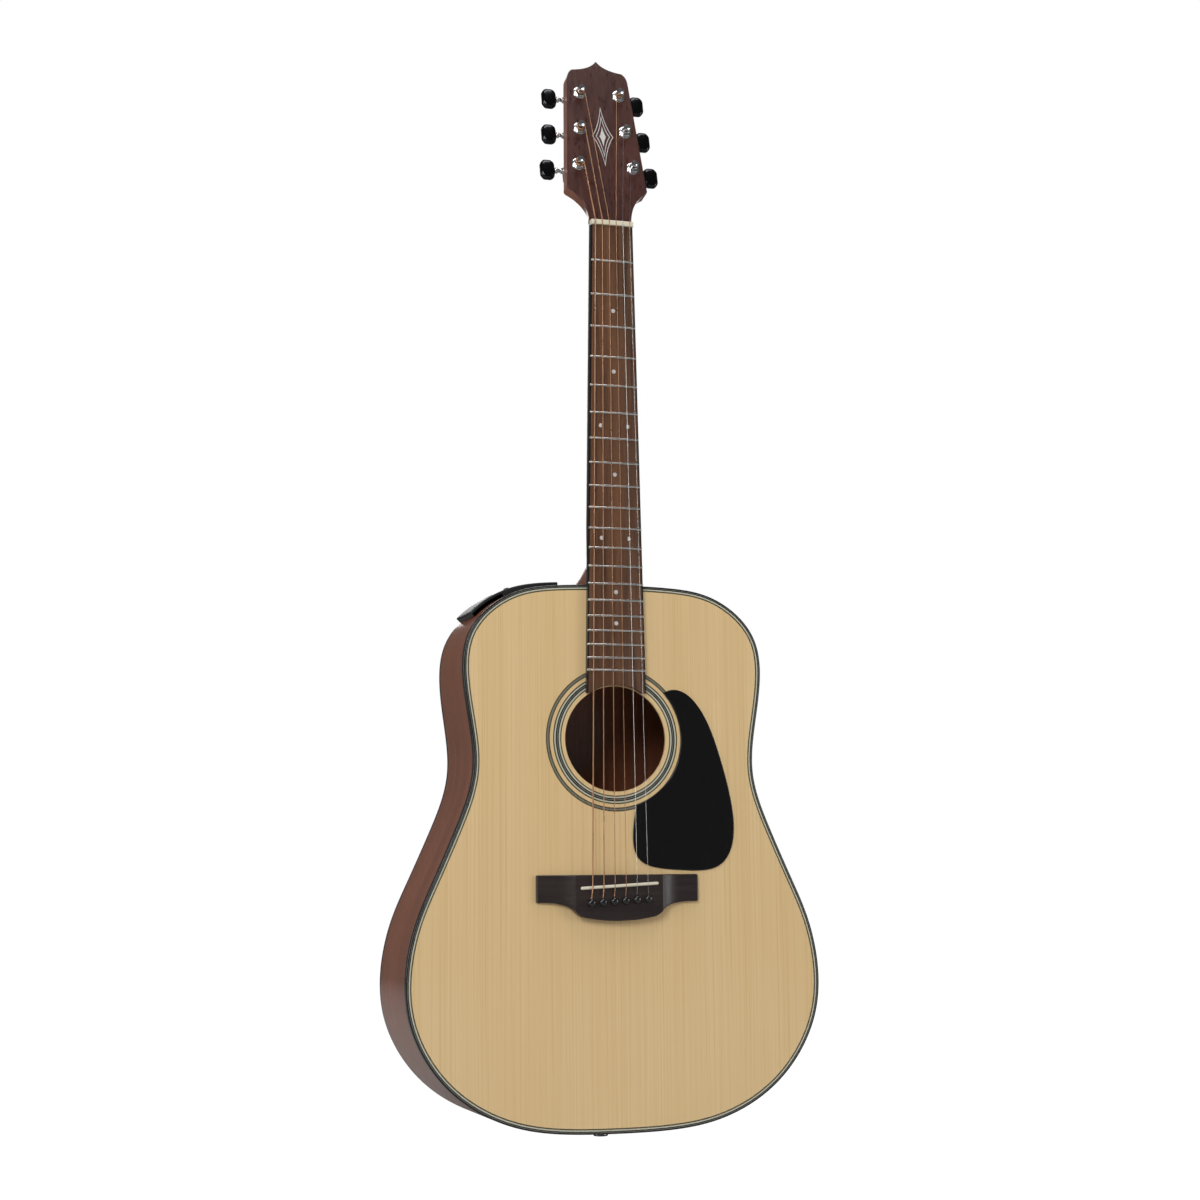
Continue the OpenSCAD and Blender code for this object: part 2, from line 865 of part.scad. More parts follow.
module preamp_case() {
    color("#1c1c1e") bass() difference() {
        slab(case_y[0], case_y[1]) strip_2d(0, 32, panel_k[0] + 1, panel_k[1] - 1);
        slab(case_y[0] + 2, case_y[1] - 2) strip_2d(2, 30, panel_k[0] + 1.4, panel_k[1] - 1.4);
        for (k = slider_k) {
            at_edge(k, 1) translate([-1.2, mid_y - slot_half, -3]) cube([2.4, 2 * slot_half, 6]);
        }
    }
}

module preamp_board() {
    color("#2d5a3c") bass() slab(case_y[0] + 3, case_y[1] - 3) strip_2d(6, 7.6, panel_k[0] + 1.6, 12);
}

module battery() {
    size = [44, 26, 16];
    color("#8a8378") bass() at_edge(10.1, 20) translate([-size[0] / 2, mid_y - size[1] / 2, -size[2] / 2])
        cube(size);
}

module slider(n) {
    color("#2a2b2d") bass() at_edge(slider_k[n - 1], -panel_gap) {
        translate([-0.6, mid_y - 1.5, -1.4]) cube([1.2, 3, panel_t + 2]);
        translate([-1.9, mid_y - 2.8, panel_t + 0.4]) cube([3.8, 5.6, 1.6]);
    }
}

module slider_1() slider(1);
module slider_2() slider(2);
module slider_3() slider(3);

module battery_door() {
    outer = -panel_gap - panel_t;
    color("#161617") bass() slab(door_y[0], door_y[1])
        strip_2d(outer, outer + door_t, door_k[0] + 0.1, door_k[1]);
}

soundboard();
back_plate();
rib_bass();
rib_treble();
binding_top();
binding_back();
purfling_top();
rosette();
pickguard();
lining_top();
lining_back();
neck_block();
tail_block();
soundboard_braces();
back_braces();
bridge_plate();
bridge();
saddle();
saddle_pickup();
bridge_pins();
neck();
truss_rod();
heel_cap();
fingerboard();
fingerboard_binding();
frets();
position_dots();
nut();
headstock_veneer();
tuner_housings();
tuner_bushings();
tuner_screws();
tuner_post_1();
tuner_post_2();
tuner_post_3();
tuner_post_4();
tuner_post_5();
tuner_post_6();
tuner_shaft_1();
tuner_shaft_2();
tuner_shaft_3();
tuner_shaft_4();
tuner_shaft_5();
tuner_shaft_6();
tuner_button_1();
tuner_button_2();
tuner_button_3();
tuner_button_4();
tuner_button_5();
tuner_button_6();
strings();
end_pin_jack();
preamp_panel();
preamp_case();
preamp_board();
slider_1();
slider_2();
slider_3();
battery_door();
battery();
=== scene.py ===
"""Looks of a steel-string dreadnought guitar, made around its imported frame.

Shapes are worked out in millimetres, with x to the treble side, y into the body and z up the neck,
and become metres when a mesh is made. The soundboard's face is the plane y = 0.
"""
import math

import bmesh
import bpy
import numpy as np
from bpy.props import FloatProperty, FloatVectorProperty, PointerProperty
from mathutils import Matrix, Vector
from mathutils.geometry import tessellate_polygon


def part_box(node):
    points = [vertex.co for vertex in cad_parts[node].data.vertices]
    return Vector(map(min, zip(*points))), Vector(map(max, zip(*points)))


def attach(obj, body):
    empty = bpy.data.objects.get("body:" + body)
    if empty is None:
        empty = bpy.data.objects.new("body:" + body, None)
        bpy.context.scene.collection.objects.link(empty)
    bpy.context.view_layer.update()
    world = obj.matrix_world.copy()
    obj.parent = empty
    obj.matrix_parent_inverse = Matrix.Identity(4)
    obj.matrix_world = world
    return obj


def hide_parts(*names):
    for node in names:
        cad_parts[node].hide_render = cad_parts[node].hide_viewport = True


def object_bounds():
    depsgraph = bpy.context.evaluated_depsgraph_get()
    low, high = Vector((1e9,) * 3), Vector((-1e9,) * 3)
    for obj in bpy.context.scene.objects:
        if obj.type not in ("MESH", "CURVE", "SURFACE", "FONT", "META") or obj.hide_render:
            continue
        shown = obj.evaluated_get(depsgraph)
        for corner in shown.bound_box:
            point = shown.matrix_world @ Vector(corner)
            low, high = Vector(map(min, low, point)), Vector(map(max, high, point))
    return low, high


bl_info = {
    "name": "Steel-string guitar",
    "version": (1, 0, 0),
    "blender": (4, 5, 0),
    "location": "View3D > Sidebar > Guitar",
    "description": "Builds the visible pieces and finishes of a dreadnought guitar around its frame",
    "category": "Object",
}

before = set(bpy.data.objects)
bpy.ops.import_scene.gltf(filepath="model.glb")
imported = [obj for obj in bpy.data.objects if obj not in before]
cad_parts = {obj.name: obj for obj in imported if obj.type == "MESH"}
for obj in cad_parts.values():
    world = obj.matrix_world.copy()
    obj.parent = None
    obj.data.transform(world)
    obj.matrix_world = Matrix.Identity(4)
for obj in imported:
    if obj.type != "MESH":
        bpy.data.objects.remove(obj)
CAD_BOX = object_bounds()
MM = 0.001


def span(node):
    """Lowest and highest corner of a frame node, in millimetres."""
    return [np.array(corner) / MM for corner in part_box(node)]


# --- Places and sizes of the guitar, from the frame where a node shows them ---

SCALE = 634.0
NUT_Z, HEAD_Z = span("nut")[0][2], span("nut")[1][2]
NUT_W = span("nut")[1][0] * 2
BOARD_T = -span("fingerboard")[0][1]
BOARD_LEN = NUT_Z - span("fingerboard_binding")[0][2]
BOARD_R = 406.0
BOARD_W12 = 54.0
BOARD_EDGE = 1.5
BODY_Z = NUT_Z - SCALE * (1 - 2 ** (-14 / 12))
TAIL = float(np.round(span("end_pin_jack")[0][2] + 8, 3))
HOLE_Z = (span("rosette")[0][2] + span("rosette")[1][2]) / 2
HOLE_R = 50.0
BRIDGE_LO, BRIDGE_HI = span("bridge")
BRIDGE_T = -BRIDGE_LO[1]
SADDLE_Z = BRIDGE_HI[2] - 10.4
SADDLE_H = -span("saddle")[0][1]
SADDLE_SLANT = math.radians(3.1)
PIN_Z = SADDLE_Z - 14.2
PIN_SLANT = 3.2 / 55
BRIDGE_SPREAD = 55.8
NUT_SPREAD = 35.0
NUT_FLOOR, NUT_TOP = 7.55, 8.3
STRING_R = np.array([0.675, 0.535, 0.405, 0.305, 0.205, 0.15])

BODY_DEPTH, BACK_RADIUS, BACK_T = 124.6, 4600.0, 3.0
BACK_Y, BACK_Z = BODY_DEPTH - BACK_RADIUS, BODY_Z - 528
RIB_T, BINDING_W, BINDING_D, PURFLING_IN, INLAY_D = 2.6, 1.6, 6.0, 5.4, 1.0
CASE_Y, CASE_K = (34.0, 79.0), (5.8, 14.5)

HEAD_TILT = math.radians(14)
HEAD_T, VENEER_T, POST_H = 14.0, 1.6, 10.2
POST_U = [61.8, 102.8, 144.3, 144.3, 102.8, 61.8]
POST_X = [-28, -23.5, -20.3, 20.3, 23.5, 28]
POST_R, WRAP_GAP = 3.0, 0.3
WRAP_Y = -VENEER_T - POST_H + 3.9
SHAFT_Y, SHAFT_UP = HEAD_T + 6, 4.2
BUTTON_IN, BUTTON_OUT, BUTTON_HALF, BUTTON_T = 18.0, 33.0, 10.8, 8.0

NECK_D, HEEL_LEN, HEEL_DEPTH, HEEL_NOSE, HEEL_CAP_T = 15.0, 62.0, 88.0, 16.0, 3.0
NECK_JOIN = BODY_Z - 0.3
HEEL_TOP = NECK_JOIN + HEEL_LEN

PANEL_K, PANEL_Y, PANEL_T, PANEL_GAP = (5.0, 15.3), (28.0, 86.0), 6.0, 0.2
SLIDER_K, SLOT_HALF, MID_Y = (7.0, 8.5, 10.0), 10.5, 57.0
DOOR_K, DOOR_Y, DOOR_T = (11.6, 15.3), (33.0, 81.0), 1.6

# Half outline of the body, as control points of a cubic B-spline from the neck joint to the tail
OUTLINE = [
    (0, 0), (59, -1), (105, -7), (153, -48), (146, -116), (133, -177), (154, -230),
    (179, -285), (200, -330), (208, -405), (170, -470), (116, -503), (65, -514), (0, -515),
]
OUTLINE_CTL = np.array([(-59, -1)] + OUTLINE + [(-65, -514)], float)
SPANS, SPAN_STEPS = len(OUTLINE) - 1, 6
EDGE_LAST = SPANS * SPAN_STEPS

# Closed outline of the pickguard, as control points of a cubic B-spline measured from the soundhole
GUARD = [
    (44, 47), (69, 50), (91, 24), (104, -12), (117, -59), (120, -98),
    (104, -127), (60, -124), (18, -121), (14, -87), (25, -40), (36, 20),
]
GUARD_CLEAR_R, GUARD_T = 65.5, 1.2


# --- Curves ---


def spline_weights(t):
    """Weights of the four control points of a cubic B-spline span at t, and their rates of change."""
    place = [(1 - t) ** 3, 3 * t**3 - 6 * t * t + 4, -3 * t**3 + 3 * t * t + 3 * t + 1, t**3]
    rate = [-3 * (1 - t) ** 2, 9 * t * t - 12 * t, -9 * t * t + 6 * t + 3, 3 * t * t]
    return np.stack(place, -1) / 6, np.stack(rate, -1) / 6


def spline_at(ctl, steps):
    """Points and directions of a cubic B-spline: the whole part of a step picks its span, the rest is t."""
    i = np.clip(np.floor(steps).astype(int), 0, len(ctl) - 4)
    place, rate = spline_weights(steps - i)
    near = ctl[i[:, None] + np.arange(4)]
    return np.einsum("mk,mkd->md", place, near), np.einsum("mk,mkd->md", rate, near)


def edge_at(k, inset=0.0):
    """Point k steps down the treble half of the body's outline, moved inwards along its normal by inset."""
    k = np.atleast_1d(np.asarray(k, float))
    points, way = spline_at(OUTLINE_CTL, k / SPAN_STEPS)
    way /= np.linalg.norm(way, axis=1)[:, None]
    points = points + np.reshape(inset, (-1, 1)) * np.stack([way[:, 1], -way[:, 0]], 1)
    return points + (0, BODY_Z)


def bezier(a, b, c, n):
    """n + 1 points of the quadratic Bezier curve from a to c, pulled towards b."""
    t = np.linspace(0, 1, n + 1)[:, None]
    return (1 - t) ** 2 * np.array(a, float) + 2 * t * (1 - t) * np.array(b) + t * t * np.array(c)


def fret_at(n):
    """Distance from the nut to fret n: each fret leaves 2 to the power -1/12 of the length before it."""
    return SCALE * (1 - 2 ** (-np.asarray(n, float) / 12))


def board_half(d):
    """Half width of the fingerboard at distance d from the nut, growing in a straight line."""
    return (NUT_W + (BOARD_W12 - NUT_W) * d / (SCALE / 2)) / 2


def crown(x):
    """Drop of the fingerboard's crown at x, as a parabola that fits its circle."""
    return x * x / (2 * BOARD_R)


def back_at(x, z, inset=0.0):
    """Depth of the ball that the back is part of, at x and z."""
    return BACK_Y + np.sqrt((BACK_RADIUS - inset) ** 2 - x * x - (z - BACK_Z) ** 2)


def mirrored(half):
    """Closed outline from a half outline: the half, then its mirror image back to the start."""
    back = half[::-1] * (-1, 1)
    keep = np.ones(len(back), bool)
    keep[0] = abs(half[-1, 0]) > 1e-6
    keep[-1] = abs(half[0, 0]) > 1e-6
    return np.concatenate([half, back[keep]])


# --- Meshes: each builder gives vertices, faces and the faces' UV, ready for piece() ---


def grid_quads(nu, nv, wrap_u=False, wrap_v=False):
    """Faces of an nu by nv grid of vertices, which may close on itself in either way."""
    i = np.arange(nu if wrap_u else nu - 1)[:, None]
    j = np.arange(nv if wrap_v else nv - 1)[None, :]
    i1, j1 = (i + 1) % nu, (j + 1) % nv
    corners = (i * nv + j, i1 * nv + j, i1 * nv + j1, i * nv + j1)
    return np.stack(np.broadcast_arrays(*corners), -1).reshape(-1, 4)


def grid_uv(u, v):
    """UV of each corner of the faces of a grid, from the parameter of each of its lines."""
    u, v = np.asarray(u, float), np.asarray(v, float)
    i, j = np.arange(len(u) - 1)[:, None], np.arange(len(v) - 1)[None, :]
    corners = [(i, j), (i + 1, j), (i + 1, j + 1), (i, j + 1)]
    pairs = [np.stack(np.broadcast_arrays(u[a], v[b]), -1) for a, b in corners]
    return np.stack(pairs, 2).reshape(-1, 4, 2)


def run_length(points):
    """Distance along a line of points, from its first."""
    steps = np.linalg.norm(np.diff(points, axis=0), axis=1)
    return np.concatenate([[0], np.cumsum(steps)])


def loft(rings, wrap=False, caps=True):
    """Surface through closed rings of points. Its ends are closed by flat caps unless it wraps.
    UV is the distance along the middle of the rings and the distance round the widest ring."""
    rings = np.asarray(rings, float)
    m, n = rings.shape[:2]
    faces = grid_quads(m, n, wrap, True)
    middle = rings.mean(1)
    along = run_length(np.concatenate([middle, middle[:1]]) if wrap else middle)
    wide = rings[np.argmax(np.linalg.norm(rings - middle[:, None], axis=2).mean(1))]
    around = run_length(np.concatenate([wide, wide[:1]]))
    uv = grid_uv(along, around) * MM
    faces = faces.tolist()
    uv = [corner for face in uv.tolist() for corner in face]
    if not wrap and caps:
        for face in (np.arange(n)[::-1], (m - 1) * n + np.arange(n)):
            faces.append(face.tolist())
            uv += [[0.0, 0.0]] * n
    return rings.reshape(-1, 3), faces, uv


def revolve(profile, place, segments=48, closed=False):
    """Surface swept by a profile of (radius, height) round the height's axis. Place turns local points
    (x, height, z) into the guitar's frame. Equal end points at radius 0 are the poles."""
    profile = np.asarray(profile, float)
    turn = np.linspace(0, 2 * np.pi, segments, endpoint=False)[:, None]
    x, z = profile[:, 0] * np.cos(turn), profile[:, 0] * np.sin(turn)
    y = np.broadcast_to(profile[:, 1], x.shape)
    points = place(np.stack([x, y, z], -1).reshape(-1, 3))
    faces = grid_quads(segments, len(profile), True, closed)
    lines = np.concatenate([profile, profile[:1]]) if closed else profile
    uv = grid_uv(np.linspace(0, 1, segments + 1), run_length(lines) * MM)
    return points, faces.tolist(), uv.reshape(-1, 2).tolist()


def arc(cx, cy, r, a0, a1, n=6):
    """Points of a circular arc about (cx, cy), its angles in degrees."""
    a = np.radians(np.linspace(a0, a1, n))
    return np.stack([cx + r * np.cos(a), cy + r * np.sin(a)], 1)


def normals_2d(loop):
    """Inward normal at each point of a closed loop that runs clockwise seen from the front."""
    way = np.roll(loop, -1, 0) - np.roll(loop, 1, 0)
    way /= np.linalg.norm(way, axis=1)[:, None] + 1e-12
    inward = np.stack([way[:, 1], -way[:, 0]], 1)
    area = np.sum(loop[:, 0] * np.roll(loop[:, 1], -1) - loop[:, 1] * np.roll(loop[:, 0], -1))
    return inward if area < 0 else -inward


def plate(loop, y0, y1, front=0.0, back=0.0, holes=(), place=None, steps=5):
    """Flat plate between depths y0 and y1 with a closed outline in x and z and through holes. Its edges are
    rounded by quarter circles: at angle a the outline moves in by r(1 - cos a) as the depth moves by r(1
    - sin a)."""
    loop = np.asarray(loop, float)
    inward = normals_2d(loop)
    a = np.linspace(np.pi / 2, 0, steps)
    ways = []
    if front:
        ways += [(front * (1 - np.cos(t)), y0 + front * (1 - np.sin(t))) for t in a]
    else:
        ways += [(0, y0)]
    if back:
        ways += [(back * (1 - np.cos(t)), y1 - back * (1 - np.sin(t))) for t in a[::-1]]
    else:
        ways += [(0, y1)]
    rings = []
    for inset, y in ways:
        moved = loop + inward * inset
        rings.append(np.stack([moved[:, 0], np.full(len(moved), y), moved[:, 1]], 1))
    points = [np.concatenate(rings)]
    m, n = len(rings), len(loop)
    faces = grid_quads(m, n, False, True).tolist()
    lines = [rings[0][:, [0, 2]], *[np.asarray(h, float) for h in holes]]
    starts = [m * n]
    for hole in lines[1:]:
        for y in (y0, y1):
            points.append(np.stack([hole[:, 0], np.full(len(hole), y), hole[:, 1]], 1))
        faces += (grid_quads(2, len(hole), False, True) + starts[-1]).tolist()
        starts.append(starts[-1] + 2 * len(hole))
    triangles = np.array(tessellate_polygon([[Vector((p[0], p[1], 0)) for p in line] for line in lines]))
    counts = [len(line) for line in lines]
    first = np.concatenate([np.arange(n)] + [s + np.arange(c) for s, c in zip(starts, counts[1:])])
    last = np.concatenate([(m - 1) * n + np.arange(n)] + [s + c + np.arange(c) for s,
        c in zip(starts, counts[1:])])
    faces += first[triangles].tolist() + last[triangles[:, ::-1]].tolist()
    points = np.concatenate(points)
    return (place(points) if place else points), faces, None


def shell(outer, inner, keep=None, uv=None):
    """Wall between two grids of points, without the cells that keep leaves out. Its rims close it all
    round."""
    nu, nv = outer.shape[:2]
    keep = np.ones((nu - 1, nv - 1), bool) if keep is None else keep
    cells = grid_quads(nu, nv).reshape(nu - 1, nv - 1, 4)
    kept = cells[keep]
    under = nu * nv
    faces = [kept, kept[:, ::-1] + under]
    framed = np.pad(keep, 1)
    inside = framed[1:-1, 1:-1]
    sides = [((0, 1), framed[1:-1, :-2]), ((1, 2), framed[2:, 1:-1]), ((2, 3), framed[1:-1, 2:]),
        ((3, 0), framed[:-2, 1:-1])]
    for (a, b), beside in sides:
        rim = cells[inside & ~beside]
        faces.append(np.stack([rim[:, b], rim[:, a], rim[:, a] + under, rim[:, b] + under], 1))
    corner_uv = None
    if uv is not None:
        flat = grid_uv(*uv).reshape(nu - 1, nv - 1, 4, 2)[keep]
        rest = np.zeros((sum(len(f) for f in faces[2:]), 4, 2))
        corner_uv = np.concatenate([flat, flat[:, ::-1], rest]).reshape(-1, 2).tolist()
    points = np.concatenate([outer.reshape(-1, 3), inner.reshape(-1, 3)])
    return points, np.concatenate(faces).tolist(), corner_uv


def tube(path, radius, across, sides=12):
    """Round tube along a path. Each ring lies across the path's direction, turned by the fixed way
    across."""
    path = np.asarray(path, float)
    way = np.gradient(path, axis=0)
    way /= np.linalg.norm(way, axis=1)[:, None]
    one = np.cross(way, across)
    one /= np.linalg.norm(one, axis=1)[:, None]
    two = np.cross(way, one)
    turn = np.linspace(0, 2 * np.pi, sides, endpoint=False)[None, :, None]
    size = np.broadcast_to(radius, len(path))[:, None, None]
    return loft(path[:, None] + size * (np.cos(turn) * one[:, None] + np.sin(turn) * two[:, None]))


def section(lo, hi, base, top, r, steps=5):
    """Rings of a bar along x: flat base, straight sides and two top edges rounded by radius r.
    All sizes may change from station to station. Gives z and height, one row per station."""
    lo, hi, base, top, r = (np.atleast_1d(v).astype(float)[:, None] for v in (lo, hi, base, top, r))
    a = np.linspace(0, np.pi / 2, steps)[None, :]
    m = max(len(v) for v in (lo, hi, base, top, r))
    left = (lo + r - r * np.cos(a), top - r + r * np.sin(a))
    right = (hi - r + r * np.sin(a), top - r + r * np.cos(a))
    z = [np.broadcast_to(v, (m, v.shape[1])) for v in (lo, left[0], right[0], hi)]
    h = [np.broadcast_to(v, (m, v.shape[1])) for v in (base, left[1], right[1], base)]
    return np.concatenate(z, 1), np.concatenate(h, 1)


def bar(x, z, h):
    """Loft of section rings at stations x, standing over the soundboard's plane."""
    across = np.broadcast_to(np.asarray(x, float)[:, None], z.shape)
    return loft(np.stack([across, -h, z], -1))


def pillow(loop, y_mid, half, place, steps=9, power=0.55):
    """Cushion shape over a closed outline: at height angle a the outline shrinks by cos a to a power
    about its middle and stands off by half times sin a."""
    loop = np.asarray(loop, float)
    middle = loop.mean(0)
    a = np.linspace(-np.pi / 2, np.pi / 2, 2 * steps + 1)
    rings = [
        np.stack([flat[:, 0], np.full(len(loop), y_mid + half * math.sin(t)), flat[:, 1]], 1)
        for t in a
        for flat in [middle + (loop - middle) * max(math.cos(t), 0) ** power]
    ]
    points, faces, uv = loft(rings)
    return place(points), faces, uv


def joined(*parts):
    """Several parts as one list of parts."""
    return [one for part in parts for one in (part if isinstance(part, list) else [part])]


def piece(name, parts, finish, body="guitar", nodes=(), sharp=38.0, weighted=False):
    """Makes one mesh object of its parts. Each part's seams and poles are closed and its faces turned
    outwards."""
    whole = bmesh.new()
    for points, faces, uv in joined(parts):
        mesh = bpy.data.meshes.new("part")
        mesh.from_pydata((np.asarray(points) * MM).tolist(), [], faces)
        layer = mesh.uv_layers.new(name="UVMap")
        if uv:
            layer.data.foreach_set("uv", np.array(uv, np.float32).ravel())
        work = bmesh.new()
        work.from_mesh(mesh)
        bmesh.ops.remove_doubles(work, verts=work.verts, dist=1e-6)
        bmesh.ops.dissolve_degenerate(work, dist=1e-7, edges=work.edges)
        bmesh.ops.recalc_face_normals(work, faces=work.faces)
        work.to_mesh(mesh)
        work.free()
        whole.from_mesh(mesh)
        bpy.data.meshes.remove(mesh)
    mesh = bpy.data.meshes.new(name)
    whole.to_mesh(mesh)
    whole.free()
    mesh.shade_smooth()
    mesh.set_sharp_from_angle(angle=math.radians(sharp))
    mesh.materials.append(finish)
    thing = bpy.data.objects.new(name, mesh)
    bpy.context.scene.collection.objects.link(thing)
    if weighted:
        thing.modifiers.new("Flat faces stay flat", "WEIGHTED_NORMAL").keep_sharp = True
    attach(thing, body)
    if nodes:
        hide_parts(*nodes)
    return thing


def dress(node, finish):
    """Gives a frame node its finish."""
    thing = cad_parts[node]
    thing.data.materials.clear()
    thing.data.materials.append(finish)


# --- Finishes ---


class Wire:
    """One output of a node tree. Python's operators add its Math nodes."""

    def __init__(self, tree, socket):
        self.tree = tree
        self.socket = socket

    def maths(self, operation, other=0.0, turned=False):
        pair = (other, self) if turned else (self, other)
        return self.tree.node("ShaderNodeMath", {"operation": operation}, {0: pair[0], 1: pair[1]})

    def __add__(self, other):
        return self.maths("ADD", other)

    def __sub__(self, other):
        return self.maths("SUBTRACT", other)

    def __mul__(self, other):
        return self.maths("MULTIPLY", other)

    def __rsub__(self, other):
        return self.maths("SUBTRACT", other, True)

    def __abs__(self):
        return self.maths("ABSOLUTE")

    __radd__ = __add__
    __rmul__ = __mul__


class Finish:
    """A material with one principled shader, and the nodes that vary its finish."""

    def __init__(self, name, **fixed):
        self.material = bpy.data.materials.new(name)
        self.material.use_nodes = True
        self.tree = self.material.node_tree
        self.shader = self.tree.nodes["Principled BSDF"]
        for socket, value in fixed.items():
            self.set(socket.replace("_", " "), value)

    def set(self, socket, value):
        """Sets or links an input of the shader."""
        self.fill(self.shader.inputs[socket], value)

    def fill(self, socket, value):
        if isinstance(value, Wire):
            self.tree.links.new(value.socket, socket)
        elif isinstance(value, tuple) and len(value) == 3 and socket.type == "RGBA":
            socket.default_value = (*value, 1.0)
        else:
            socket.default_value = value

    def node(self, kind, settings=None, inputs=None, output=0):
        """Adds a node: its settings first, then the values or links of its sockets."""
        made = self.tree.nodes.new(kind)
        for key, value in (settings or {}).items():
            if key == "stops":
                ramp = made.color_ramp
                while len(ramp.elements) < len(value):
                    ramp.elements.new(0.5)
                for element, (place, colour) in zip(ramp.elements, value):
                    element.position = place
                    element.color = (*colour, 1.0)
            else:
                setattr(made, key, value)
        for key, value in (inputs or {}).items():
            self.fill(made.inputs[key], value)
        return Wire(self, made.outputs[output])

    def place(self, scale=(1, 1, 1), uv=False):
        """The piece's own coordinates in metres, or its UV, stretched by a scale."""
        where = self.node("ShaderNodeTexCoord", output="UV" if uv else "Object")
        return self.node("ShaderNodeMapping", None, {"Vector": where, "Scale": scale})

    def axes(self, where):
        """The three numbers of a vector."""
        split = self.node("ShaderNodeSeparateXYZ", None, {0: where})
        outputs = split.socket.node.outputs
        return [Wire(self, outputs[i]) for i in range(3)]

    def vector(self, x, y, z):
        return self.node("ShaderNodeCombineXYZ", None, {0: x, 1: y, 2: z})

    def noise(self, where, scale=1.0, detail=3.0, rough=0.5, distortion=0.0):
        inputs = {"Vector": where, "Scale": scale, "Detail": detail, "Roughness": rough,
            "Distortion": distortion}
        return self.node("ShaderNodeTexNoise", None, inputs)

    def ramp(self, value, *stops):
        return self.node("ShaderNodeValToRGB", {"stops": stops}, {0: value})

    def level(self, value, low, high, to_low=0.0, to_high=1.0):
        """Stretches a range of values to another, held at its ends."""
        inputs = {"Value": value, "From Min": low, "From Max": high, "To Min": to_low, "To Max": to_high}
        return self.node("ShaderNodeMapRange", None, inputs)

    def mix(self, share, one, two, way="MIX"):
        settings = {"data_type": "RGBA", "blend_type": way}
        return self.node("ShaderNodeMix", settings, {"Factor": share, 6: one, 7: two}, output=2)

    def bump(self, height, strength, distance=0.0002):
        inputs = {"Strength": strength, "Distance": distance, "Height": height}
        self.set("Normal", self.node("ShaderNodeBump", None, inputs))


def spruce(colour):
    """Pale spruce under gloss lacquer: close straight growth lines, mirrored about the centre joint,
    slow changes of tone across the board and faint silk across the grain."""
    f = Finish("Spruce top", Coat_Weight=0.6, Coat_Roughness=0.07, IOR=1.45)
    x, y, z = f.axes(f.place())
    side = abs(x)
    sway = f.noise(f.vector(side * 9, y, z * 1.6), 1.0, 2.0) * 0.006
    lines = f.noise(f.vector((side + sway) * 620, y * 40, z * 2.2), 1.0, 4.0, 0.62)
    wide = f.noise(f.vector((side + sway) * 85, y, z * 1.1), 1.0, 3.0)
    tone = f.noise(f.vector(x * 7, y, z * 2.5), 1.0, 2.0)
    silk = f.noise(f.vector(x * 60, y, z * 520), 1.0, 2.0)
    pale, mid, deep = (tuple(c * k for c, k in zip(colour, ks))
        for ks in ((1.08, 1.09, 1.16), (1, 1, 1), (0.9, 0.83, 0.7)))
    base = f.ramp(lines * 0.6 + wide * 0.4, (0.3, pale), (0.52, mid), (0.74, deep))
    base = f.mix(f.level(tone, 0.35, 0.7, 0.0, 0.28), base,
        tuple(c * k for c, k in zip(colour, (0.97, 0.9, 0.78))))
    base = f.mix(f.level(silk, 0.62, 0.8, 0.0, 0.1), base, pale)
    f.set("Base Color", base)
    f.set("Roughness", f.level(lines, 0.3, 0.7, 0.34, 0.24))
    f.bump(lines, 0.04)
    return f.material


def grained_wood(name, light, dark, pore, grain="z", uv=False, gloss=0.3, coat=0.3, figure=0.5, pores=0.6,
    scale=1.0):
    """Open-grained hardwood: long streaks, broad bands, and short dark pores that lie along the grain.
    The grain runs along z, or along the first axis of the UV where the surface bends."""
    f = Finish(name, Coat_Weight=coat, Coat_Roughness=0.12, IOR=1.45)
    a, b, c = f.axes(f.place(uv=uv))
    along, across, deep = (a, b, c) if uv else {"z": (c, a, b), "x": (a, c, b)}[grain]
    sway = f.noise(f.vector(along * 5, across * 14, deep * 14), scale, 2.0) * 0.012
    line = f.noise(f.vector(along * 7, (across + sway) * 330, (deep + sway) * 330), scale, 4.0, 0.6)
    band = f.noise(f.vector(along * 3, (across + sway) * 42, deep * 42), scale, 3.0)
    spot = f.noise(f.vector(along * 210, across * 2300, deep * 2300), scale, 2.0)
    ribbon = f.noise(f.vector(along * 60, across * 22, deep * 22), scale, 1.0)
    tone = line * 0.5 + band * 0.5
    base = f.ramp(tone, (0.32, dark), (0.66, light))
    base = f.mix(f.level(ribbon, 0.4, 0.7, 0.0, 0.3 * figure), base, light)
    hollow = f.level(spot, 0.6, 0.7, 0.0, pores)
    f.set("Base Color", f.mix(hollow, base, pore))
    f.set("Roughness", f.level(line, 0.3, 0.7, gloss - 0.05, gloss + 0.09) + hollow * 0.12)
    f.bump(line * 0.4 - hollow, 0.12)
    return f.material


def plastic(name, colour, gloss, coat=0.0, scratch=0.05):
    """Moulded or scraped plastic: even colour with a faint drift, and polish that fine marks break up."""
    f = Finish(name, Coat_Weight=coat, Coat_Roughness=0.04, IOR=1.48)
    drift = f.noise(f.place((60, 60, 60)), 1.0, 3.0)
    marks = f.noise(f.place((900, 300, 2600)), 1.0, 3.0, 0.7)
    f.set("Base Color", f.mix(drift * 0.35, colour, tuple(c * 1.5 + 0.002 for c in colour)))
    f.set("Roughness", gloss + f.level(marks, 0.5, 0.75, 0.0, scratch) + drift * 0.03)
    f.bump(drift, 0.02)
    return f.material


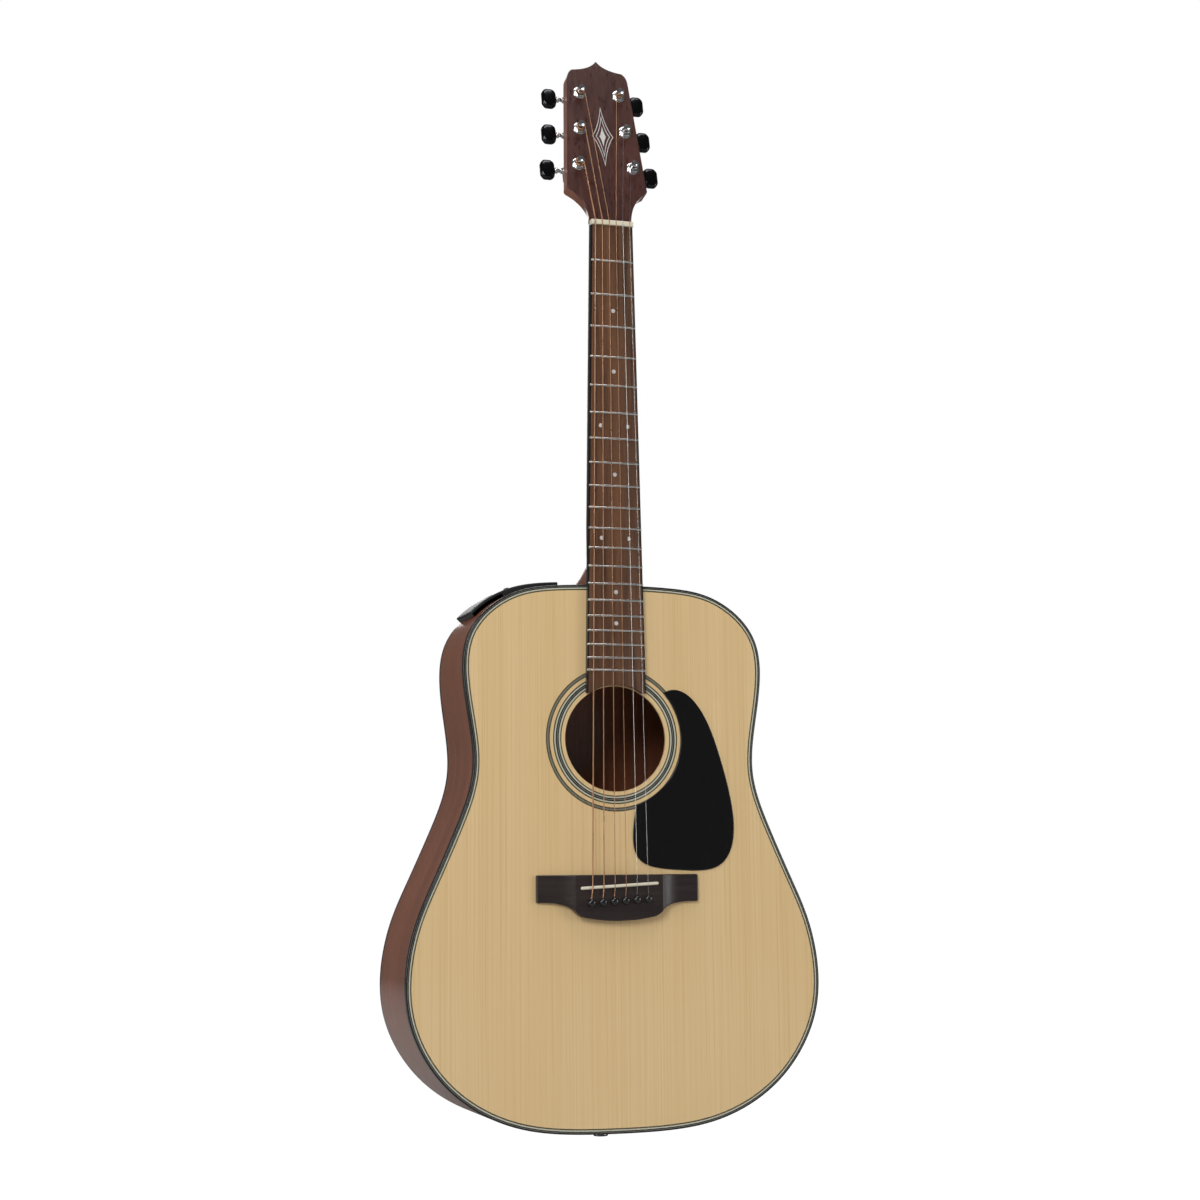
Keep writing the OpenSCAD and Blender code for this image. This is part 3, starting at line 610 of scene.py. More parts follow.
def metal(name, colour, gloss, marks_scale=(1200, 1200, 1200), worn=0.08, deep=None):
    """Polished or plated metal with handling marks that dull it in patches."""
    f = Finish(name, Metallic=1.0)
    marks = f.noise(f.place(marks_scale), 1.0, 3.0, 0.6)
    film = f.noise(f.place((70, 70, 70)), 1.0, 3.0)
    f.set("Base Color", f.mix(f.level(film, 0.35, 0.75), colour, deep or tuple(c * 0.86 for c in colour)))
    f.set("Roughness", gloss + f.level(marks, 0.45, 0.75, 0.0, worn) + film * 0.04)
    f.bump(marks, 0.015)
    return f.material


def bone(name, colour):
    """Bone or its cast copy: warm white with long faint fibres and a soft polish."""
    f = Finish(name, Coat_Weight=0.25, Coat_Roughness=0.2, Subsurface_Weight=0.05)
    fibre = f.noise(f.place((90, 900, 900)), 1.0, 3.0)
    f.set("Base Color", f.mix(f.level(fibre, 0.35, 0.75), colour,
        tuple(c * k for c, k in zip(colour, (0.93, 0.88, 0.78)))))
    f.set("Roughness", f.level(fibre, 0.3, 0.7, 0.3, 0.42))
    f.bump(fibre, 0.04)
    return f.material


def pearl(name):
    """Mother of pearl: soft clouds of cool and warm white with a clear gloss."""
    f = Finish(name, Coat_Weight=0.8, Coat_Roughness=0.05, Metallic=0.25)
    cloud = f.noise(f.place((260, 260, 420)), 1.0, 3.0, 0.6, 1.2)
    f.set("Base Color", f.ramp(cloud, (0.3, (0.62, 0.66, 0.68)), (0.5, (0.85, 0.84, 0.8)),
        (0.7, (0.75, 0.66, 0.68))))
    f.set("Roughness", f.level(cloud, 0.3, 0.7, 0.18, 0.32))
    return f.material


def striped(name, distance_of, stripes, gloss=0.25):
    """Laminated lines: the colour is picked by distance, in millimetres, with a faint wood drift over
    it."""
    f = Finish(name, Coat_Weight=0.5, Coat_Roughness=0.08)
    far = distance_of(f)
    low, high = stripes[0][0], stripes[-1][0] + 1.0
    share = f.level(far, low, high)
    ramp = f.node("ShaderNodeValToRGB", None, {0: share})
    bar_of = ramp.socket.node.color_ramp
    bar_of.interpolation = "CONSTANT"
    while len(bar_of.elements) < len(stripes):
        bar_of.elements.new(0.5)
    for element, (start, colour) in zip(bar_of.elements, stripes):
        element.position = (start - low) / (high - low)
        element.color = (*colour, 1.0)
    drift = f.noise(f.place((350, 350, 60)), 1.0, 3.0)
    f.set("Base Color", f.mix(f.level(drift, 0.4, 0.7, 0.0, 0.18), ramp, (0.2, 0.17, 0.11)))
    f.set("Roughness", f.level(drift, 0.3, 0.7, gloss, gloss + 0.08))
    return f.material


def wound_string(name, colour, pitch):
    """Wrapped string: ridges of the winding follow the UV along the string, and the grooves between the
    turns are darkened as painted shade.
    """
    f = Finish(name, Metallic=1.0)
    along, across, unused = f.axes(f.place(uv=True))
    ridge = (along * (2 * math.pi / (pitch * MM)) + across * 900).maths("SINE")
    film = f.noise(f.place((40, 40, 40)), 1.0, 3.0)
    # Painted shade: the base colour falls to 0.55 of the bronze in the grooves between the turns of the
    # winding.
    f.set("Base Color", f.mix(f.level(ridge, -1.0, 0.4), tuple(c * 0.55 for c in colour), colour))
    f.set("Roughness", f.level(film, 0.3, 0.7, 0.24, 0.36))
    f.bump(ridge, 0.5, 0.0001)
    return f.material


LIGHT_LINE, DARK_LINE, OLIVE_LINE, GREY_LINE = (0.6, 0.6, 0.48), (0.012, 0.012, 0.012), (0.075, 0.062,
    0.03), (0.2, 0.2, 0.17)
PURFLING_STRIPES = [(1.6, GREY_LINE), (1.95, DARK_LINE), (3.0, LIGHT_LINE), (4.15, OLIVE_LINE)]
ROSETTE_STRIPES = [
    (53.7, OLIVE_LINE), (54.8, LIGHT_LINE), (56.1, DARK_LINE), (57.3, GREY_LINE), (57.9, DARK_LINE),
    (59.2, LIGHT_LINE), (60.5, OLIVE_LINE), (65.0, OLIVE_LINE), (66.2, GREY_LINE), (67.6, OLIVE_LINE),
]
FINISHES = {}


def make_finishes(colours):
    """Fills FINISHES from the colours that the panel offers."""
    made = FINISHES
    made["spruce"] = spruce(tuple(colours.spruce))
    brown = tuple(colours.mahogany)
    deep = tuple(c * 0.52 for c in brown)
    pore = tuple(c * 0.22 for c in brown)
    made["rib"] = grained_wood("Mahogany bent rib", brown, deep, pore, uv=True, gloss=0.34, coat=0.35,
        pores=0.5)
    made["mahogany"] = grained_wood("Mahogany", brown, deep, pore, gloss=0.34, coat=0.35, pores=0.5)
    made["brace"] = grained_wood("Brace spruce", (0.62, 0.43, 0.21), (0.5, 0.32, 0.14), (0.4, 0.25, 0.1),
        gloss=0.6, coat=0.0, pores=0.15)
    made["block"] = grained_wood("Block mahogany", (0.3, 0.14, 0.07), (0.19, 0.08, 0.04),
        (0.1, 0.04, 0.02), grain="x", gloss=0.6, coat=0.0)
    dark = tuple(colours.rosewood)
    made["rosewood"] = grained_wood("Rosewood board", tuple(c * 1.5 for c in dark),
        tuple(c * 0.36 for c in dark), tuple(c * 0.12 for c in dark), gloss=0.42, coat=0.05, figure=0.3,
        pores=0.75, scale=1.3)
    made["bridge_wood"] = grained_wood("Rosewood bridge", (0.03, 0.019, 0.017), (0.012, 0.008, 0.0075),
        (0.004, 0.003, 0.003), grain="x", gloss=0.36, coat=0.1, pores=0.5)
    made["veneer"] = grained_wood("Headstock veneer", (0.085, 0.024, 0.016), (0.03, 0.009, 0.007),
        (0.008, 0.003, 0.003), gloss=0.3, coat=0.35, figure=0.2, pores=0.5)
    made["binding"] = plastic("Black binding", (0.008, 0.008, 0.008), 0.22, 0.3)
    made["guard"] = plastic("Black pickguard", (0.0035, 0.0035, 0.004), 0.13, 0.2, 0.03)
    made["pin"] = plastic("Black bridge pins", (0.006, 0.006, 0.006), 0.16, 0.4)
    made["preamp"] = plastic("Preamp black", (0.01, 0.01, 0.011), 0.38, 0.0, 0.1)
    made["slider"] = plastic("Slider grey", (0.045, 0.047, 0.05), 0.4)
    made["battery"] = metal("Battery jacket", (0.34, 0.3, 0.22), 0.4)
    made["bone"] = bone("Bone", (0.8, 0.74, 0.6))
    made["pearl"] = pearl("Pearl")
    made["chrome"] = metal("Chrome", (0.78, 0.79, 0.8), 0.07)
    made["button"] = metal("Dark polished plating", (0.035, 0.036, 0.039), 0.11, worn=0.05)
    made["fret"] = metal("Fret wire", (0.72, 0.71, 0.68), 0.2, (300, 2500, 2500))
    made["steel"] = metal("Steel", (0.55, 0.55, 0.56), 0.32)
    made["plain"] = metal("Plain steel string", (0.68, 0.68, 0.66), 0.2)
    made["bronze"] = wound_string("Bronze wound string", (0.72, 0.4, 0.23), 0.32)
    made["board"] = plastic("Circuit board green", (0.02, 0.09, 0.04), 0.35, 0.3)
    made["purfling"] = striped("Purfling lines", lambda f: f.axes(f.place(uv=True))[1] * 1000,
        PURFLING_STRIPES)

    def from_hole(f):
        x, y, z = f.axes(f.place())
        flat = f.vector(x, 0.0, z - HOLE_Z * MM)
        return f.node("ShaderNodeVectorMath", {"operation": "LENGTH"}, {0: flat}, output="Value") * 1000

    made["rosette"] = striped("Rosette rings", from_hole, ROSETTE_STRIPES)


# --- Body ---


def around(profile, level):
    """Strip that runs all round the body. Its profile holds (inset, depth) pairs, and level turns x, z and
    a depth into y. UV is the distance round the body and the inset."""
    k = np.linspace(0, EDGE_LAST, EDGE_LAST * 5 + 1)
    rings = []
    for inset, depth in profile:
        loop = mirrored(edge_at(k, inset) * np.array([1, 1]))
        rings.append(np.stack([loop[:, 0], level(loop[:, 0], loop[:, 1], depth), loop[:, 1]], 1))
    points = np.stack(rings, 1)
    m, n = points.shape[:2]
    length = run_length(np.concatenate([points[:, 0], points[:1, 0]])) * MM
    insets = np.array([p[0] for p in profile] + [profile[0][0]]) * MM
    faces = grid_quads(m, n, True, True).tolist()
    return points.reshape(-1, 3), faces, grid_uv(length, insets).reshape(-1, 2).tolist()


def rib_part(side):
    """Bent rib of one half: a wall of even thickness along the outline, from the top binding to the back
    one.
    The bass rib is open behind the control panel."""
    k = np.unique(np.concatenate([np.arange(0, EDGE_LAST + 0.01, 0.25), CASE_K]))
    out, inn = edge_at(k), edge_at(k, RIB_T)
    end = back_at(out[:, 0], out[:, 1], BINDING_D)[:, None]
    f = np.linspace(0, 1, 7)[None, 1:]
    fixed = np.concatenate([np.linspace(BINDING_D, CASE_Y[0], 6), np.linspace(*CASE_Y, 7)[1:]])
    y = np.concatenate([np.broadcast_to(fixed, (len(k), len(fixed))), CASE_Y[1] + f * (end - CASE_Y[1])], 1)
    walls = [np.stack([side * np.broadcast_to(p[:, :1], y.shape), y, np.broadcast_to(p[:, 1:], y.shape)],
        -1) for p in (out, inn)]
    keep = np.ones((len(k) - 1, y.shape[1] - 1), bool)
    if side < 0:
        in_k = (k[:-1] >= CASE_K[0] - 1e-6) & (k[1:] <= CASE_K[1] + 1e-6)
        in_y = (y[0, :-1] >= CASE_Y[0] - 1e-6) & (y[0, 1:] <= CASE_Y[1] + 1e-6)
        keep[np.ix_(in_k, in_y)] = False
    return shell(walls[0], walls[1], keep, (run_length(out) * MM, y[0] * MM))


def back_part():
    """Arched back: rows across the body at each height of the outline, laid on the back's ball."""
    k = np.linspace(0, EDGE_LAST, EDGE_LAST * 4 + 1)
    rim = edge_at(k, BINDING_W)
    s = np.linspace(-1, 1, 41)
    x, z = rim[:, :1] * s, np.broadcast_to(rim[:, 1:], (len(k), len(s)))
    skins = [np.stack([x, back_at(x, z, inset), z], -1) for inset in (0, BACK_T)]
    return shell(*skins)


def guard_part():
    """Pickguard: a closed spline outline that follows the rosette where it comes near, with a rounded
    edge."""
    ctl = np.array(GUARD + GUARD[:3], float)
    points, way = spline_at(ctl, np.linspace(0, len(GUARD), len(GUARD) * 14, endpoint=False))
    far = np.linalg.norm(points, axis=1)[:, None]
    points *= np.maximum(far, GUARD_CLEAR_R) / far
    return plate(points + (0, HOLE_Z), -GUARD_T, 0.0, front=0.7)


# --- Bridge ---


def bridge_part():
    """Bridge: a bar whose lower edge follows the belly, with wings scooped by circles and softened
    edges."""
    wing = bezier((43.5, -23), (50, -16.2), (70, -15.2), 12)
    lip = bezier((36, -28.5), (41, -27), (43.5, -23), 6)
    end, belly_r, scoop_r, scoop_x, wing_t, soft = 79.6, 168.0, 40.0, 61.5, 4.0, 1.4
    line_x = np.concatenate([lip[:, 0], wing[1:, 0], [end]])
    line_z = np.concatenate([lip[:, 1], wing[1:, 1], [-15.2]])
    crease = scoop_x - math.sqrt(scoop_r**2 - (scoop_r + wing_t - BRIDGE_T) ** 2)
    half = np.concatenate([np.linspace(0, crease - 1.2, 20), crease + np.linspace(-0.8, 0.8, 5),
                           np.linspace(crease + 1.2, end - soft, 40),
                           end - soft + soft * np.sin(np.linspace(0.2, np.pi / 2, 7))])
    x = np.concatenate([-half[:0:-1], half])
    far = np.abs(x)
    lo = np.where(far < 36, belly_r - 32.7 - np.sqrt(belly_r**2 - np.minimum(far, 36) ** 2),
        np.interp(far, line_x, line_z))
    dip = wing_t + scoop_r - np.sqrt(scoop_r**2 - np.minimum(far - scoop_x, 0).clip(-scoop_r, 0) ** 2)
    top = np.minimum(BRIDGE_T, dip)
    blur = np.abs(far - crease) < 0.9
    top = np.where(blur, top - 0.12 * (1 - (np.abs(far - crease) / 0.9) ** 2), top)
    round_in = soft - np.sqrt(np.maximum(soft**2 - np.maximum(far - (end - soft), 0) ** 2, 0))
    z, h = section(lo + round_in, 10.4 - round_in, 0.0, top - round_in, 1.2)
    return bar(x, z + SADDLE_Z, h)


def saddle_part():
    """Saddle: a slanted bone bar with a round, crowned top."""
    end, half_w = 38.5, 1.5
    half = np.concatenate([np.linspace(0, end - half_w, 30),
        end - half_w + half_w * np.sin(np.linspace(0.1, np.pi / 2, 8))])
    x = np.concatenate([-half[:0:-1], half])
    round_in = half_w - np.sqrt(np.maximum(half_w**2 - np.maximum(np.abs(x) - (end - half_w), 0) ** 2, 0))
    top = SADDLE_H - crown(x) - 0.6 * round_in
    z, h = section(-half_w + round_in * 0.98, half_w - round_in * 0.98, 4.5, top,
        np.maximum(1.2 - round_in, 0.02))
    return bar(x * math.cos(SADDLE_SLANT), z + SADDLE_Z + (x * math.sin(SADDLE_SLANT))[:, None], h)


def upright(x, y, z):
    """Places local points so that their height runs out of the soundboard from (x, y, z)."""
    return lambda p: np.stack([p[:, 0] + x, y - p[:, 1], p[:, 2] + z], 1)


def pins_part():
    """Bridge pins: turned heads with a rounded skirt and a shallow dome over a plain stem."""
    profile = [(0, -3), (2.45, -3), (2.45, 0), (3.3, 0.05), (3.72, 0.55), (3.9, 1.4), (3.78, 2.2),
               (3.4, 2.95), (2.8, 3.55), (2.0, 3.98), (1.0, 4.22), (0, 4.3)]
    xs = BRIDGE_SPREAD * (np.arange(6) / 5 - 0.5)
    return joined(*[revolve(profile, upright(x, -BRIDGE_T, PIN_Z + x * PIN_SLANT), 32) for x in xs])


# --- Neck ---


def in_head(p):
    """Turns points of the headstock's frame (x, depth, up) into the guitar's frame."""
    c, s = math.cos(HEAD_TILT), math.sin(HEAD_TILT)
    return np.stack([p[:, 0], p[:, 1] * c + p[:, 2] * s, HEAD_Z - p[:, 1] * s + p[:, 2] * c], 1)


def neck_back(z):
    """Depth of the neck's back at height z, growing slowly from the nut to the heel."""
    return NECK_D + 2.4 * (HEAD_Z - z) / (HEAD_Z - HEEL_TOP)


def d_rings(base, back, width, n=40):
    """D-shaped rings: at angle a the point is at width times cos a, and sin a to the power 0.8 of the way
    from the base line to the back line."""
    a = np.linspace(0, np.pi, n)
    f = np.maximum(np.sin(a), 0)[None, :, None] ** 0.8
    p = base[:, None] * (1 - f) + back[:, None] * f
    x = width[:, None] * np.cos(a)
    return np.stack([x, p[..., 0], p[..., 1]], -1)


def heel_lines(s):
    """Base and back line of the heel and its half width, for s from 0 at the neck to 1 at the cap.
    The back line is a cubic Bezier curve, and the base turns from the fingerboard down the body's end."""
    t = 1 - s
    ends = neck_back(HEEL_TOP), HEEL_DEPTH
    back = np.stack([
        ends[0] * t**3 + 3 * s * t * t * 20 + 3 * s * s * t * 47 + s**3 * ends[1],
        NECK_JOIN + HEEL_LEN * t**3 + 3 * s * t * t * 40 + 3 * s * s * t * 22 + s**3 * HEEL_NOSE,
    ], -1)
    corner = 0.45
    base = np.stack([
        np.maximum(HEEL_DEPTH * (s - corner) / (1 - corner), 0),
        NECK_JOIN + HEEL_LEN * np.maximum(1 - s / corner, 0),
    ], -1)
    width = board_half(NUT_Z - base[:, 1]) - 0.1 - 11 * s**1.6
    return base, back, width


def neck_part():
    """Neck shaft and heel: D-shaped rings from under the headstock's back, past the nut, to the heel
    cap."""
    u = np.linspace(34, 1, 12)
    sink = u / 34
    low = np.stack([np.full(len(u), 3.0), u], 1)
    high = np.stack([HEAD_T - 1.5 + 2.6 * (1 - sink) ** 1.5, u], 1)
    width = 21.1 * (1 - 0.45 * sink**1.5)
    bulge = d_rings(low, high, width)
    bulge = in_head(bulge.reshape(-1, 3)).reshape(bulge.shape)
    z = np.linspace(HEAD_Z, HEEL_TOP + 4, 40)
    flat = np.zeros(len(z))
    shaft = d_rings(np.stack([flat, z], 1), np.stack([neck_back(z), z], 1), board_half(NUT_Z - z) - 0.1)
    heel = d_rings(*heel_lines(np.concatenate([np.linspace(0, 0.44, 12), np.linspace(0.46, 1, 18)])))
    return loft(np.concatenate([bulge, shaft, heel]))


def eased_head(p):
    """Places points of the headstock's wood, drawn in towards the back where the neck runs into it."""
    near = np.clip(1 - p[:, 2] / 36, 0, 1) * np.clip(p[:, 1] / HEAD_T, 0, 1) ** 1.5
    return in_head(np.stack([p[:, 0] * (1 - 0.34 * near), p[:, 1], p[:, 2]], 1))


def head_loop(n=14):
    """Outline of the headstock: a flare from the nut, straight sides, round shoulders and a pointed
    crest."""
    half = np.concatenate([
        bezier((21.3, 0), (23, 24), (39.8, 34.6), 2 * n),
        bezier((41, 36.8), (40.8, 39), (40.6, 41), 4),
        bezier((31.6, 161), (30.6, 169), (25.6, 171.5), n),
        bezier((25.6, 171.5), (7, 173.5), (0.4, 183), n)[1:],
    ])
    return mirrored(half)[::-1]


def ring_hole(x, u, r, n=40):
    return arc(x, u, r, 0, 360, n + 1)[:-1]


def fingerboard_part():
    """Fingerboard: stations along the neck, each a crowned top over a flat base, ending at the
    soundhole's arc."""
    s = np.linspace(-1, 1, 25)
    d = np.linspace(0, 1, 60)[:, None]
    half = board_half(d * BOARD_LEN) - BOARD_EDGE
    x = half * s
    end = NUT_Z - HOLE_Z - np.sqrt((HOLE_R + 1) ** 2 - np.clip(board_half(BOARD_LEN) * s, -40, 40) ** 2)
    z = NUT_Z - d * np.minimum(end, BOARD_LEN)
    top = np.stack([x, -BOARD_T + crown(x), z], -1)
    base = np.stack([x, np.zeros_like(x), z], -1)
    return shell(top, base)


def edge_strips_part():
    """Black strips along both sides of the fingerboard, crowned with it and eased along the outer edge."""
    strips = []
    d = np.linspace(0, 1, 50)
    for side in (-1, 1):
        half = board_half(d * BOARD_LEN)
        offsets = [(BOARD_EDGE, 0.0), (0, 0.0), (0, 0.65), (0.12, 0.85), (0.35, 1.0), (BOARD_EDGE, 1.0)]
        end = np.minimum(NUT_Z - HOLE_Z - np.sqrt((HOLE_R + 1) ** 2 - board_half(BOARD_LEN) ** 2),
            BOARD_LEN)
        rings = [np.stack([side * (half - inset), -share * (BOARD_T - crown(half - inset)),
            NUT_Z - d * end], 1) for inset, share in offsets]
        strips.append(loft(np.stack(rings, 1)))
    return joined(*strips)


def frets_part():
    """Frets: half-round wires that follow the crown, their ends filed in as they rise."""
    a = np.linspace(0, np.pi, 11)
    height = np.concatenate([[-0.4], 1.1 * np.sin(a) ** 0.85, [-0.4]])
    across = np.concatenate([[1.0], 1.05 * np.cos(a), [-1.0]])
    s = np.concatenate([[-1], np.linspace(-0.97, 0.97, 11), [1]])[:, None]
    wires = []
    for n in range(1, 21):
        x = s * (board_half(fret_at(n)) - 0.05 - 0.45 * np.maximum(height, 0))
        h = BOARD_T - crown(x) + height * np.where(np.abs(s) == 1, 0.86, 1.0)
        z = np.broadcast_to(across + NUT_Z - fret_at(n), h.shape)
        wires.append(loft(np.stack([x, -h, z], -1)))
    return joined(*wires)


def dots_part():
    """Position dots: pearl discs let into the board, standing proud of it by a hair."""
    places = [(0, n) for n in (3, 5, 9, 15, 17)] + [(side * 13.5, n) for n in (7, 12) for side in (-1, 1)]
    profile = [(0, -1.2), (2, -1.2), (2, 0.0), (1.9, 0.03), (0, 0.04)]
    discs = [revolve(profile, upright(x, -BOARD_T + crown(x), NUT_Z - (fret_at(n) + fret_at(n - 1)) / 2),
        32) for x, n in places]
    return joined(*discs)


def nut_x(i):
    return NUT_SPREAD * (i / 5 - 0.5)


def nut_part():
    """Nut: a bone bar with a crowned, rounded top and a slot cut for each string."""
    half = NUT_W / 2
    ends = half - 0.5 + 0.5 * np.sin(np.linspace(0.2, np.pi / 2, 5))
    cuts = np.concatenate([nut_x(i) + np.array([-1.05, -1, 1, 1.05]) * (STRING_R[i] + 0.1)
        for i in range(6)])
    x = np.unique(np.round(np.concatenate([-ends, ends, cuts, np.linspace(-half + 0.5, half - 0.5, 40)]),
        4))
    round_in = 0.5 - np.sqrt(np.maximum(0.25 - np.maximum(np.abs(x) - (half - 0.5), 0) ** 2, 0))
    top = NUT_TOP - crown(x) - round_in
    near = np.abs(x[:, None] - nut_x(np.arange(6))[None, :])
    in_slot = (near <= (STRING_R + 0.1)[None, :] * 1.001).any(1)
    top = np.where(in_slot, NUT_FLOOR - crown(x), top)
    z, h = section(NUT_Z + 0.02, HEAD_Z, 0.0, top, 0.7)
    return bar(x, z, h)


def lozenge(half_w, half_h, middle, n=6):
    """Slender four-pointed figure whose sides curve inwards."""
    quarter = bezier((half_w, 0), (half_w * 0.32, half_h * 0.32), (0, half_h), n)
    loop = np.concatenate([quarter, quarter[-2:0:-1] * (-1, 1), -quarter, (quarter * (1, -1))[-2:0:-1]])
    return loop + middle


def ornament_part():
    """Generic inlay on the headstock: two thin outlines of nested lozenges with a small solid one."""
    y0, y1 = -VENEER_T - 0.04, -VENEER_T + 0.3
    middle = np.array([0, 96.0])
    parts = [plate(lozenge(w, h, middle), y0, y1, holes=[lozenge(w - 0.85, h - 3.2, middle)], place=in_head)
             for w, h in ((11.0, 34.0), (7.4, 24.0))]
    parts.append(plate(lozenge(3.4, 12.0, middle), y0, y1, place=in_head))
    return joined(*parts)


# --- Tuners ---


def at_post(i):
    """Places local points about string post i, with local x running out towards its button."""
    side = -1 if i < 3 else 1
    return lambda p: in_head(np.stack([POST_X[i] + side * p[:, 0], p[:, 1], POST_U[i] + p[:, 2]], 1))


def at_shaft(i):
    """Places turned parts whose height runs out along the shaft of tuner i."""
    post = at_post(i)
    return lambda p: post(np.stack([p[:, 1], SHAFT_Y + p[:, 0], p[:, 2] + SHAFT_UP], 1))


def rounded_box_loop(w, h, r, middle, n=6):
    x, z = w / 2 - r, h / 2 - r
    corners = [arc(x, z, r, 0, 90, n), arc(-x, z, r, 90, 180, n), arc(-x, -z, r, 180, 270, n),
        arc(x, -z, r, 270, 360, n)]
    return np.concatenate(corners) + middle


def housing_part(i):
    """Tuner housing: a soft-edged die-cast box with a lug for its screw and a boss round the shaft."""
    post = at_post(i)
    body = plate(rounded_box_loop(17, 18, 3.4, (0.5, 1.5)), HEAD_T, HEAD_T + 12, back=2.4, place=post,
        steps=7)
    lug = plate(np.concatenate([arc(4, -4, 3.2, 0, 180, 14), arc(4, -11, 3.2, 180, 360, 14)]), HEAD_T,
        HEAD_T + 3,
                back=0.7, holes=[ring_hole(4, -11, 1.1, 20)], place=post)
    boss = revolve([(2.05, 7.5), (3.5, 7.5), (3.6, 9.4), (3.3, 10), (2.05, 10)], at_shaft(i), 32,
        closed=True)
    return joined(body, lug, boss)


def bushing_part(i):
    """Front bushing: a thin round washer under a chamfered hexagonal nut, both open for the post."""
    post = at_post(i)
    y = -VENEER_T
    washer = revolve([(3.1, y), (6.4, y), (6.5, y - 0.4), (6.2, y - 0.9), (5.6, y - 1.1), (3.1, y - 1.1)],
        post, 48, closed=True)
    hexagon = arc(0, 0, 5.5, 0, 360, 7)[:-1]
    loop = np.concatenate([hexagon[j] + (hexagon[(j + 1) % 6] - hexagon[j]) * np.linspace(0, 1, 6)[:-1,
        None] for j in range(6)])
    nut = plate(loop, y - 3.0, y - 1.1, front=0.6, holes=[ring_hole(0, 0, 3.1)], place=post, steps=4)
    return joined(washer, nut)


def screw_part(i):
    """Pan-head screw with a cross recess."""
    post = at_post(i)
    top, low = HEAD_T + 4.2, HEAD_T + 3.0
    arm, wide = 1.3, 0.34
    cross = np.array([(arm, wide), (wide, wide), (wide, arm), (-wide, arm), (-wide, wide), (-arm, wide)])
    cross = np.concatenate([cross, -cross]) + (4, -11)
    head = plate(arc(4, -11, 2.3, 0, 360, 33)[:-1], low, top, back=0.8, holes=[cross], place=post)
    floor = revolve([(0, 6), (1.05, 6), (1.05, low), (1.9, low), (1.9, low + 0.35), (0, low + 0.35)],
                    lambda p: post(np.stack([p[:, 0] + 4, p[:, 1], p[:, 2] - 11], 1)), 24)
    return joined(head, floor)


def post_part(i):
    """String post: a chromed pin with a waist where the string winds and a rounded, dished top."""
    low = -VENEER_T - POST_H
    profile = [(0, HEAD_T + 9), (3, HEAD_T + 9), (3, -4.4), (2.95, WRAP_Y + 1.2), (2.95, WRAP_Y - 0.6),
        (3.0, low + 3.2),
               (3.45, low + 2.0), (3.68, low + 1.2), (3.6, low + 0.4), (3.2, low + 0.02), (2.6, low),
               (1.6, low + 0.25), (0, low + 0.3)]
    return revolve(profile, at_post(i), 40)


def winding_part(i):
    """Turns of string round its post: a helix just clear of the post, from the string's height towards the
    face."""
    r = STRING_R[i]
    turns = (1.8, 2.0, 2.4, 3.0, 4.0, 4.6)[i]
    side = -1 if i < 3 else 1
    a = np.linspace(0, 2 * np.pi * turns, int(28 * turns))
    far = POST_R + r + WRAP_GAP
    y = WRAP_Y + a / (2 * np.pi) * 2.06 * r
    path = np.stack([-far * np.cos(a), y, far * np.sin(a)], 1)
    return tube(at_post(i)(path), r, in_head(np.array([[0, 1, 0]]))[0] - in_head(np.zeros((1, 3)))[0], 10)


def shaft_part(i):
    """Worm shaft with its turned collars between the housing and the button."""
    profile = [(0, -3.5), (1.0, -3.5), (1.0, 5.2), (1.95, 5.2), (1.95, 10.2), (2.9, 10.25), (3.0, 10.8),
        (2.9, 11.4), (2.2, 11.8),
               (2.0, 12.6), (2.0, 14.2), (2.3, 14.8), (2.9, 15.2), (3.05, 15.8), (3.05, 17.0), (2.7, 17.8),
               (1.6, 18.0), (1.6, 27), (0, 27)]
    return revolve(profile, at_shaft(i), 32)


def button_loop(n=10):
    """Outline of a tuner button: narrow at the shaft, with straight sides and clipped, eased corners."""
    b = BUTTON_HALF
    half = np.concatenate([
        bezier((BUTTON_IN, 0), (BUTTON_IN, 2.5), (BUTTON_IN, 4.6), 4),
        bezier((BUTTON_IN, 4.6), (BUTTON_IN + 0.4, 8.2), (BUTTON_IN + 2.2, 9.4), n)[1:],
        bezier((BUTTON_IN + 2.2, 9.4), (BUTTON_IN + 3.6, b), (BUTTON_IN + 5.4, b), n)[1:],
        bezier((BUTTON_OUT - 5.4, b), (BUTTON_OUT - 3.4, b), (BUTTON_OUT - 2.2, 9.2), n),
        bezier((BUTTON_OUT - 2.2, 9.2), (BUTTON_OUT, 6.8), (BUTTON_OUT, 4.8), n)[1:],
        bezier((BUTTON_OUT, 4.8), (BUTTON_OUT, 2.5), (BUTTON_OUT, 0), 4)[1:],
    ])
    return np.concatenate([half, (half * (1, -1))[-2:0:-1]]) + (0, SHAFT_UP)


# --- Strings ---


